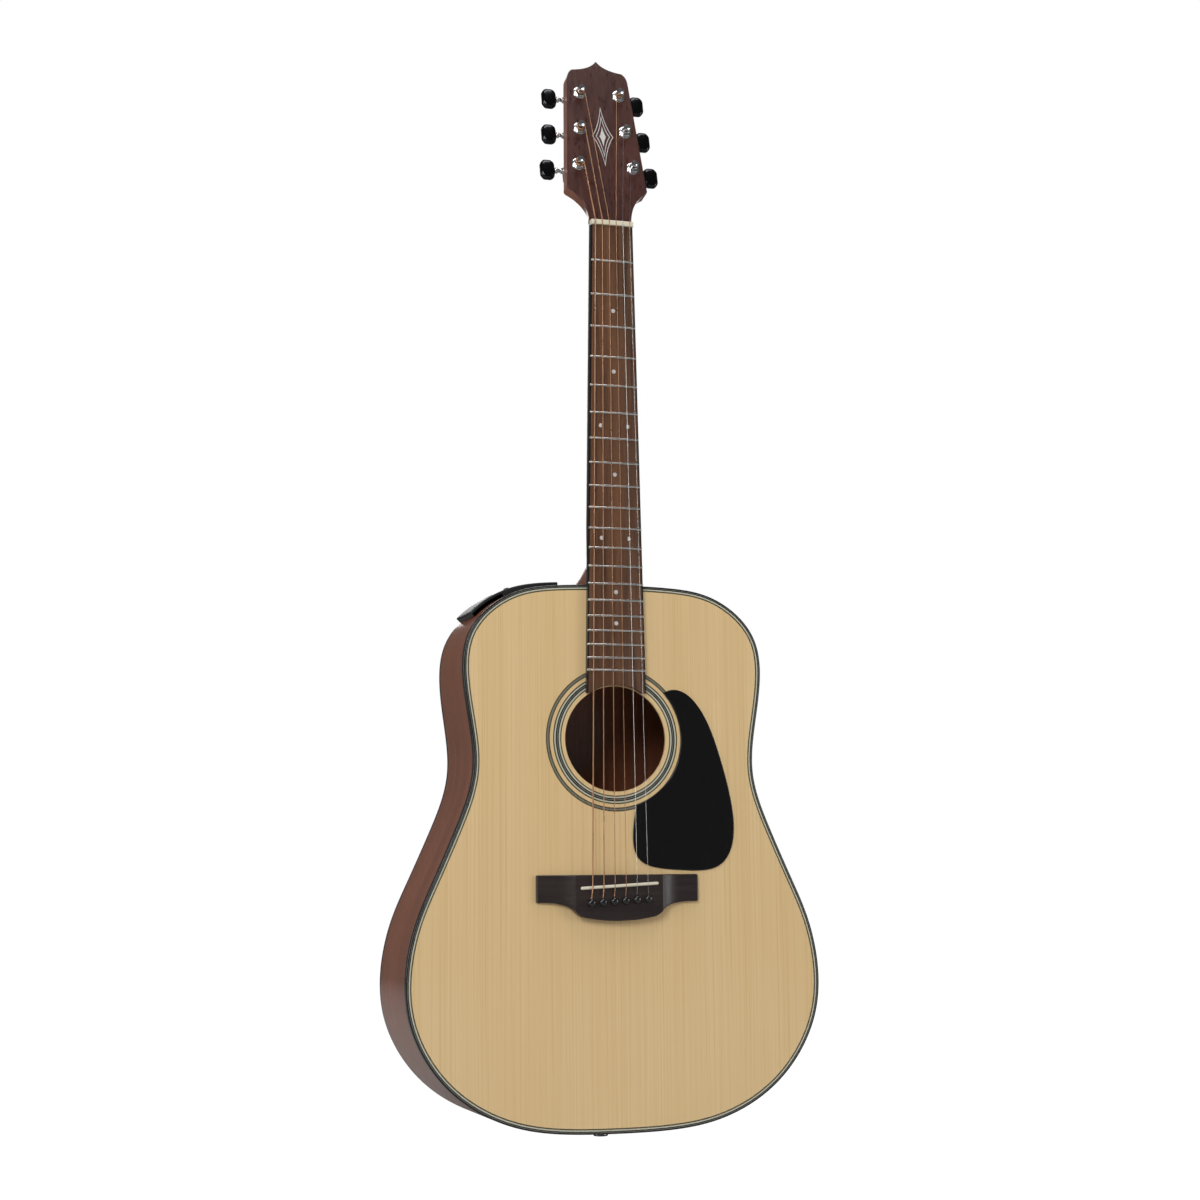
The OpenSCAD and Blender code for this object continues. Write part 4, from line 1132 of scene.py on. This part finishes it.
def string_part(i):
    """One string: straight from its post to the nut, over the saddle and down beside its bridge pin."""
    r, x = STRING_R[i], nut_x(i)
    bx = BRIDGE_SPREAD * (i / 5 - 0.5)
    side = -1 if i < 3 else 1
    touch = in_head(np.array([[POST_X[i] - side * (POST_R + r + WRAP_GAP), WRAP_Y, POST_U[i]]]))[0]
    nut = np.array([x, -NUT_FLOOR - r + crown(x), HEAD_Z - 0.6])
    nut_end = np.array([x, -NUT_FLOOR - r + crown(x), NUT_Z + 0.3])
    saddle = np.array([bx * 0.98, -SADDLE_H - r + crown(bx), SADDLE_Z + bx * math.tan(SADDLE_SLANT)])
    pin = np.array([bx, -BRIDGE_T - r * 0.5, PIN_Z + bx * PIN_SLANT + 4.4])
    inside = np.array([bx, -BRIDGE_T + 2.5, PIN_Z + bx * PIN_SLANT + 2.2])
    stops = [touch, nut, nut_end, saddle, pin, inside]
    counts = [24, 4, 60, 10, 4]
    pieces_of = [a + (b - a) * np.linspace(0, 1, n)[:-1, None] for a, b, n in zip(stops, stops[1:], counts)]
    return tube(np.concatenate(pieces_of + [inside[None]]), r, np.array([1.0, 0.0, 0.0]), 12)


# --- Pickup and end pin ---


def on_rib(k, height, y):
    """Points over the bass rib: k steps down the outline, standing out by height, at depth y."""
    k, height, y = np.broadcast_arrays(k, height, y)
    flat = edge_at(k.ravel(), -height.ravel())
    return np.stack([-flat[:, 0], y.ravel(), flat[:, 1]], 1).reshape(*k.shape, 3)


def steps_per_mm(k):
    """Steps of the outline per millimetre near step k."""
    a, b = edge_at([k - 0.05, k + 0.05])
    return 0.1 / np.linalg.norm(b - a)


def curved_plate(k0, k1, y0, y1, low, high, edge, cuts=(), fine=None):
    """Plate bent over the rib between two steps and two depths. Its top falls off in a quarter circle of
    radius edge near the rim, and cuts are windows of (k0, k1, y0, y1) through it."""
    r = np.array([0, 0.15, 0.4, 0.7, 1.0]) * edge
    per = steps_per_mm((k0 + k1) / 2)
    k = np.concatenate([k0 + r * per, np.linspace(k0 + edge * per, k1 - edge * per, 70), k1 - r * per,
        *[c[:2] for c in cuts]])
    y = np.concatenate([y0 + r, np.linspace(y0 + edge, y1 - edge, 16), y1 - r, *[c[2:] for c in cuts]])
    k, y = np.unique(np.round(k, 5)), np.unique(np.round(y, 5))
    gap_k = np.minimum(k - k0, k1 - k)[:, None] / per
    gap_y = np.minimum(y - y0, y1 - y)[None, :]
    inside = np.minimum(gap_k, gap_y).clip(0, edge)
    drop = edge - np.sqrt(edge**2 - (edge - inside) ** 2)
    kk, yy = np.meshgrid(k, y, indexing="ij")
    keep = np.ones((len(k) - 1, len(y) - 1), bool)
    for c in cuts:
        in_k = (k[:-1] >= c[0] - 1e-6) & (k[1:] <= c[1] + 1e-6)
        in_y = (y[:-1] >= c[2] - 1e-6) & (y[1:] <= c[3] + 1e-6)
        keep[np.ix_(in_k, in_y)] = False
    return shell(on_rib(kk, high - drop, yy), on_rib(kk, np.full(kk.shape, low), yy), keep)


def panel_part():
    """Control panel: a soft-edged plate over the bass shoulder, with three slots and a recess for the
    door."""
    top = PANEL_GAP + PANEL_T
    slots = [(k - 0.9 * steps_per_mm(k), k + 0.9 * steps_per_mm(k), MID_Y - SLOT_HALF, MID_Y + SLOT_HALF)
        for k in SLIDER_K]
    control = curved_plate(PANEL_K[0], DOOR_K[0], *PANEL_Y, PANEL_GAP, top, 1.2, slots)
    under = curved_plate(DOOR_K[0] - 0.02, PANEL_K[1], *PANEL_Y, PANEL_GAP, top - DOOR_T - 0.3, 0.6)
    rails = [curved_plate(DOOR_K[0] - 0.02, PANEL_K[1], y0, y1, PANEL_GAP, top, 1.0)
             for y0, y1 in ((PANEL_Y[0], DOOR_Y[0] - 0.3), (DOOR_Y[1] + 0.3, PANEL_Y[1]))]
    return joined(control, under, *rails)


def marks_part():
    """Scale ticks beside the slider slots, printed on the panel."""
    ticks = []
    top = PANEL_GAP + PANEL_T
    for k in SLIDER_K:
        per = steps_per_mm(k)
        for j in range(-3, 4):
            long = 2.6 if j == 0 else 1.6
            y = MID_Y + j * 7 / 3
            for start in (2.6, -2.6 - long):
                ticks.append(curved_plate(k + start * per, k + (start + long) * per, y - 0.16, y + 0.16,
                    top - 0.2, top + 0.03, 0.02))
    return joined(*ticks)


def slider_part(k):
    """Slider cap: a soft block with grip ridges across it, on a thin stem through the slot."""
    per = steps_per_mm(k)
    top = PANEL_GAP + PANEL_T
    stem = curved_plate(k - 0.6 * per, k + 0.6 * per, MID_Y - 1.5, MID_Y + 1.5, -1.2, top + 0.5, 0.05)
    cap = curved_plate(k - 1.9 * per, k + 1.9 * per, MID_Y - 2.8, MID_Y + 2.8, top + 0.4, top + 1.75, 0.4)
    ridges = [curved_plate(k - 1.6 * per, k + 1.6 * per, MID_Y + j - 0.2, MID_Y + j + 0.2, top + 1.6,
        top + 2.05, 0.18) for j in (-1.8, -0.9, 0, 0.9, 1.8)]
    return joined(stem, cap, *ridges)


def door_part():
    """Battery door: a soft-edged curved lid with a row of grip ridges at its free end."""
    top = PANEL_GAP + PANEL_T
    k0, k1 = DOOR_K[0] + 0.1, DOOR_K[1]
    lid = curved_plate(k0, k1, *DOOR_Y, top - DOOR_T, top, 0.5)
    per = steps_per_mm(k0)
    ridges = [curved_plate(k0 + d * per, k0 + (d + 0.8) * per, MID_Y - 8, MID_Y + 8, top - 0.3, top + 0.35,
        0.3) for d in (2.0, 3.6, 5.2)]
    return joined(lid, *ridges)


def end_pin_part():
    """End pin: strap button with a grooved waist, open at its end for a plug, over a washer on the tail."""
    y = 60.0

    def place(p):
        return np.stack([p[:, 0], y + p[:, 2], TAIL + p[:, 1]], 1)

    body = [(0, 22), (3.2, 22), (3.2, -7.4), (3.7, -7.95), (4.4, -8), (6.2, -8), (6.8, -7.7), (7, -7.2),
        (6.9, -6.3), (6.2, -5.7),
            (5.2, -5.2), (4.95, -4.2), (5.0, -2.6), (5.5, -1.8), (6.0, -1.4), (6.0, 34), (0, 34)]
    washer = [(6.02, -1.4), (7.4, -1.4), (7.9, -1.2), (8, -0.8), (7.9, -0.3), (6.02, -0.3)]
    return joined(revolve(body, place, 48), revolve(washer, place, 48, closed=True))




# --- Settings ---


class GuitarFinishes(bpy.types.PropertyGroup):
    """Colours of the woods."""

    spruce: FloatVectorProperty(name="Spruce", description="Colour of the soundboard", subtype="COLOR",
        default=(0.8, 0.58, 0.3), min=0, max=1)
    mahogany: FloatVectorProperty(name="Mahogany", description="Light colour of the ribs, back and neck",
        subtype="COLOR", default=(0.3, 0.105, 0.055), min=0, max=1)
    rosewood: FloatVectorProperty(name="Rosewood", description="Middle colour of the fingerboard",
        subtype="COLOR", default=(0.13, 0.058, 0.028), min=0, max=1)


class GuitarStage(bpy.types.PropertyGroup):
    """Camera and light."""

    lens: FloatProperty(name="Lens", description="Focal length of the camera", default=67.26, unit="CAMERA")
    distance: FloatProperty(name="Distance", description="From the camera to its target", default=2.1395,
        unit="LENGTH")
    azimuth: FloatProperty(name="Azimuth", description="Turn of the camera round the guitar",
        default=math.radians(-17.25), unit="ROTATION")
    elevation: FloatProperty(name="Elevation", description="Height angle of the camera",
        default=math.radians(-6.93), unit="ROTATION")
    roll: FloatProperty(name="Roll", description="Turn of the camera about its line of sight",
        default=math.radians(-0.554), unit="ROTATION")
    target: FloatVectorProperty(name="Target", description="Point that the camera looks at",
        default=(-0.01418, 0.0, -0.39873), unit="LENGTH")
    key: FloatProperty(name="Key light", description="Power of the main soft light", default=60.0,
        unit="POWER")


# --- Operators ---


class GuitarOperator:
    """Shared by the operators: each makes its pieces from FINISHES in execute()."""

    bl_options = {"REGISTER", "UNDO"}

    def execute(self, context):
        self.make(context)
        return {"FINISHED"}


class GUITAR_OT_finishes(GuitarOperator, bpy.types.Operator):
    """Makes the materials and dresses the inner frame parts"""

    bl_idname = "guitar.finishes"
    bl_label = "Finishes"

    def make(self, context):
        make_finishes(context.scene.guitar_finishes)
        for node, finish in {
            "soundboard": "spruce", "rosette": "rosette", "lining_top": "brace", "lining_back": "brace",
            "neck_block": "block", "tail_block": "block", "soundboard_braces": "brace",
            "back_braces": "brace",
            "bridge_plate": "block", "saddle_pickup": "steel", "truss_rod": "steel",
            "preamp_case": "preamp",
            "preamp_board": "board", "battery": "battery",
        }.items():
            dress(node, FINISHES[finish])


class GUITAR_OT_body(GuitarOperator, bpy.types.Operator):
    """Makes the ribs, the arched back, the bindings, the purfling and the pickguard"""

    bl_idname = "guitar.body"
    bl_label = "Body"

    def make(self, context):
        piece("bass_rib", rib_part(-1), FINISHES["rib"], nodes=["rib_bass"])
        piece("treble_rib", rib_part(1), FINISHES["rib"], nodes=["rib_treble"])
        piece("arched_back", back_part(), FINISHES["mahogany"], nodes=["back_plate"])
        soft = arc(1.1, 1.1, 1.1, 180, 270, 6)
        edge = [(0, BINDING_D), *soft.tolist(), (BINDING_W, 0), (BINDING_W, BINDING_D)]
        piece("top_binding", around(edge, lambda x, z, d: d + 0 * x), FINISHES["binding"],
            nodes=["binding_top"])
        piece("back_binding", around(edge, lambda x, z, d: back_at(x, z, d)), FINISHES["binding"],
            nodes=["binding_back"])
        lines = [(BINDING_W, -0.01), (PURFLING_IN, -0.01), (PURFLING_IN, INLAY_D), (BINDING_W, INLAY_D)]
        piece("top_purfling", around(lines, lambda x, z, d: d + 0 * x), FINISHES["purfling"],
            nodes=["purfling_top"])
        piece("black_pickguard", guard_part(), FINISHES["guard"], nodes=["pickguard"],
            weighted=True)


class GUITAR_OT_bridge(GuitarOperator, bpy.types.Operator):
    """Makes the bridge, its saddle and its pins"""

    bl_idname = "guitar.bridge"
    bl_label = "Bridge"

    def make(self, context):
        piece("belly_bridge", bridge_part(), FINISHES["bridge_wood"], nodes=["bridge"],
            sharp=50, weighted=True)
        piece("slanted_saddle", saddle_part(), FINISHES["bone"], nodes=["saddle"])
        piece("black_bridge_pins", pins_part(), FINISHES["pin"], nodes=["bridge_pins"])


class GUITAR_OT_neck(GuitarOperator, bpy.types.Operator):
    """Makes the neck, the headstock, the fingerboard with its frets and dots, and the nut"""

    bl_idname = "guitar.neck"
    bl_label = "Neck"

    def make(self, context):
        holes = [ring_hole(x, u, 4.9) for x, u in zip(POST_X, POST_U)]
        loop = head_loop()
        head = plate(loop, 0.0, HEAD_T, back=1.6, holes=holes, place=eased_head)
        piece("neck_shaft", neck_part(), FINISHES["mahogany"], nodes=["neck"])
        piece("headstock", head, FINISHES["mahogany"], nodes=["neck"], weighted=True)
        face = loop.copy()
        face[:, 1] = np.maximum(face[:, 1], 2.0)
        face = plate(face, -VENEER_T, 0.0, front=0.5, holes=holes, place=in_head)
        piece("headstock_face", face, FINISHES["veneer"], nodes=["headstock_veneer"],
            weighted=True)
        piece("headstock_inlay", ornament_part(), FINISHES["pearl"])
        cap = heel_lines(np.array([1.0]))
        ring = d_rings(*cap)[0]
        cap_loop = np.stack([ring[:, 0], ring[:, 2]], 1)[::-1]
        piece("heel_end_cap", plate(cap_loop, HEEL_DEPTH, HEEL_DEPTH + HEEL_CAP_T, back=0.9),
            FINISHES["binding"], nodes=["heel_cap"], weighted=True)
        piece("crowned_board", fingerboard_part(), FINISHES["rosewood"], nodes=["fingerboard"])
        piece("board_edge_strips", edge_strips_part(), FINISHES["binding"], nodes=["fingerboard_binding"])
        piece("fret_wires", frets_part(), FINISHES["fret"], nodes=["frets"])
        piece("pearl_dots", dots_part(), FINISHES["pearl"], nodes=["position_dots"])
        piece("slotted_nut", nut_part(), FINISHES["bone"], nodes=["nut"])


class GUITAR_OT_tuners(GuitarOperator, bpy.types.Operator):
    """Makes the six tuners: housings, bushings, screws, posts, shafts and buttons"""

    bl_idname = "guitar.tuners"
    bl_label = "Tuners"

    def make(self, context):
        chrome, dark = FINISHES["chrome"], FINISHES["button"]
        every = range(6)
        piece("cast_housings", joined(*[housing_part(i) for i in every]), chrome, nodes=["tuner_housings"],
            weighted=True)
        piece("hex_bushings", joined(*[bushing_part(i) for i in every]), chrome, nodes=["tuner_bushings"],
            weighted=True)
        piece("pan_screws", joined(*[screw_part(i) for i in every]), chrome, nodes=["tuner_screws"],
            weighted=True)
        for i in every:
            n = i + 1
            piece(f"string_post_{n}_turned", post_part(i), chrome, f"string_post_{n}", [f"tuner_post_{n}"])
            piece(f"key_shaft_{n}", shaft_part(i), chrome, f"tuner_key_{n}", [f"tuner_shaft_{n}"])
            button = pillow(button_loop(), SHAFT_Y, BUTTON_T / 2, at_post(i), power=0.3)
            piece(f"key_button_{n}", button, dark, f"tuner_key_{n}", [f"tuner_button_{n}"])


class GUITAR_OT_strings(GuitarOperator, bpy.types.Operator):
    """Makes the strings and their turns round the posts"""

    bl_idname = "guitar.strings"
    bl_label = "Strings"

    def make(self, context):
        for i in range(6):
            finish = FINISHES["bronze" if i < 4 else "plain"]
            piece(f"string_{i + 1}", string_part(i), finish, nodes=["strings"], sharp=80)
            piece(f"string_turns_{i + 1}", winding_part(i), finish, f"string_post_{i + 1}",
                sharp=80)


class GUITAR_OT_pickup(GuitarOperator, bpy.types.Operator):
    """Makes the control panel with its sliders and battery door, and the end pin"""

    bl_idname = "guitar.pickup"
    bl_label = "Pickup"

    def make(self, context):
        black = FINISHES["preamp"]
        piece("control_panel", panel_part(), black, nodes=["preamp_panel"], sharp=50)
        piece("panel_marks", marks_part(), FINISHES["bone"])
        for n, k in enumerate(SLIDER_K, 1):
            piece(f"slider_cap_{n}", slider_part(k), FINISHES["slider"], f"slider_{n}", [f"slider_{n}"],
                sharp=50)
        piece("battery_lid", door_part(), black, "battery_door", ["battery_door"], sharp=50)
        piece("strap_button", end_pin_part(), FINISHES["chrome"], nodes=["end_pin_jack"])


class GUITAR_OT_stage(GuitarOperator, bpy.types.Operator):
    """Makes the floor, the lights and the camera"""

    bl_idname = "guitar.stage"
    bl_label = "Stage"

    def make(self, context):
        stage = context.scene.guitar_stage
        target = Vector(stage.target)
        e, a = stage.elevation, stage.azimuth
        back = Vector((math.sin(a) * math.cos(e), -math.cos(a) * math.cos(e), math.sin(e)))
        right = (-back).cross(Vector((0, 0, 1))).normalized()
        up = right.cross(-back)
        c, s = math.cos(stage.roll), math.sin(stage.roll)
        axes = (c * right + s * up, -s * right + c * up, back)
        data = bpy.data.cameras.new("Camera")
        data.lens, data.sensor_width = stage.lens, 36.0
        camera = bpy.data.objects.new("Camera", data)
        camera.matrix_world = Matrix.Translation(
            target + back * stage.distance) @ Matrix(axes).transposed().to_4x4()
        context.scene.collection.objects.link(camera)
        context.scene.camera = camera
        context.scene.view_settings.view_transform = "Standard"
        self.lights(context, stage)
        self.floor(context)
        self.world(context)

    def lights(self, context, stage):
        """Large soft lights: the key from the upper left, a fill from the right and one behind."""
        aim = Vector((0, 0, -0.5))
        for name, place, size, share in (
            ("Key light", (-1.9, -2.6, 1.1), 1.8, 1.0),
            ("Fill light", (2.9, -1.9, -0.1), 1.6, 0.5),
            ("Side light", (-2.9, -0.4, -0.2), 1.3, 0.35),
            ("Top light", (0.2, -0.9, 2.6), 1.5, 0.5),
            ("Back light", (0.8, 2.8, 0.9), 2.0, 0.4),
        ):
            data = bpy.data.lights.new(name, "AREA")
            data.shape, data.size, data.energy = "DISK", size, stage.key * share
            lamp = bpy.data.objects.new(name, data)
            way = aim - Vector(place)
            lamp.matrix_world = Matrix.Translation(place) @ way.to_track_quat("-Z",
                "Y").to_matrix().to_4x4()
            context.scene.collection.objects.link(lamp)

    def floor(self, context):
        """Pale floor just under the guitar: a flat square that the camera sees as even white."""
        low = CAD_BOX[0].z - 0.002
        half = 9.0
        mesh = bpy.data.meshes.new("floor")
        mesh.from_pydata([(-half, -half, low), (half, -half, low), (half, half, low), (-half, half, low)],
            [], [(0, 1, 2, 3)])
        floor = bpy.data.objects.new("floor", mesh)
        f = Finish("Pale floor", Roughness=0.9)
        drift = f.noise(f.place((3, 3, 3)), 1.0, 2.0)
        f.set("Base Color", f.mix(drift * 0.3, (0.5, 0.5, 0.5), (0.46, 0.46, 0.46)))
        glow = f.node("ShaderNodeEmission", None, {"Color": (1.0, 1.0, 1.0), "Strength": 1.05})
        seen = f.node("ShaderNodeLightPath")
        shader = Wire(f, f.shader.outputs[0])
        both = f.node("ShaderNodeMixShader", None, {0: seen, 1: shader, 2: glow})
        f.fill(f.tree.nodes["Material Output"].inputs["Surface"], both)
        mesh.materials.append(f.material)
        context.scene.collection.objects.link(floor)

    def world(self, context):
        """Plain surround: white where the camera looks at it, and a softer grey as a light."""
        world = bpy.data.worlds.new("Studio")
        world.use_nodes = True
        tree = world.node_tree
        tree.nodes.clear()
        out = tree.nodes.new("ShaderNodeOutputWorld")
        mix = tree.nodes.new("ShaderNodeMixShader")
        path = tree.nodes.new("ShaderNodeLightPath")
        grey, white = (tree.nodes.new("ShaderNodeBackground") for _ in range(2))
        grey.inputs["Color"].default_value = (0.1, 0.1, 0.1, 1)
        white.inputs["Color"].default_value = (1, 1, 1, 1)
        tree.links.new(path.outputs["Is Camera Ray"], mix.inputs[0])
        tree.links.new(grey.outputs[0], mix.inputs[1])
        tree.links.new(white.outputs[0], mix.inputs[2])
        tree.links.new(mix.outputs[0], out.inputs[0])
        context.scene.world = world


OPERATORS = (
    GUITAR_OT_finishes, GUITAR_OT_body, GUITAR_OT_bridge, GUITAR_OT_neck,
    GUITAR_OT_tuners, GUITAR_OT_strings, GUITAR_OT_pickup, GUITAR_OT_stage,
)


class GUITAR_PT_panel(bpy.types.Panel):
    """Lists the settings and the operators"""

    bl_label = "Guitar"
    bl_idname = "GUITAR_PT_panel"
    bl_space_type = "VIEW_3D"
    bl_region_type = "UI"
    bl_category = "Guitar"

    def draw(self, context):
        for group in (context.scene.guitar_finishes, context.scene.guitar_stage):
            box = self.layout.box()
            for name in group.__annotations__:
                box.prop(group, name)
        for operator in OPERATORS:
            self.layout.operator(operator.bl_idname)


CLASSES = (GuitarFinishes, GuitarStage, *OPERATORS, GUITAR_PT_panel)


def register():
    for cls in CLASSES:
        bpy.utils.register_class(cls)
    bpy.types.Scene.guitar_finishes = PointerProperty(type=GuitarFinishes)
    bpy.types.Scene.guitar_stage = PointerProperty(type=GuitarStage)


def unregister():
    del bpy.types.Scene.guitar_stage
    del bpy.types.Scene.guitar_finishes
    for cls in reversed(CLASSES):
        bpy.utils.unregister_class(cls)


def main():
    register()
    for operator in OPERATORS:
        group, name = operator.bl_idname.split(".")
        getattr(getattr(bpy.ops, group), name)()


if __name__ == "__main__":
    main()
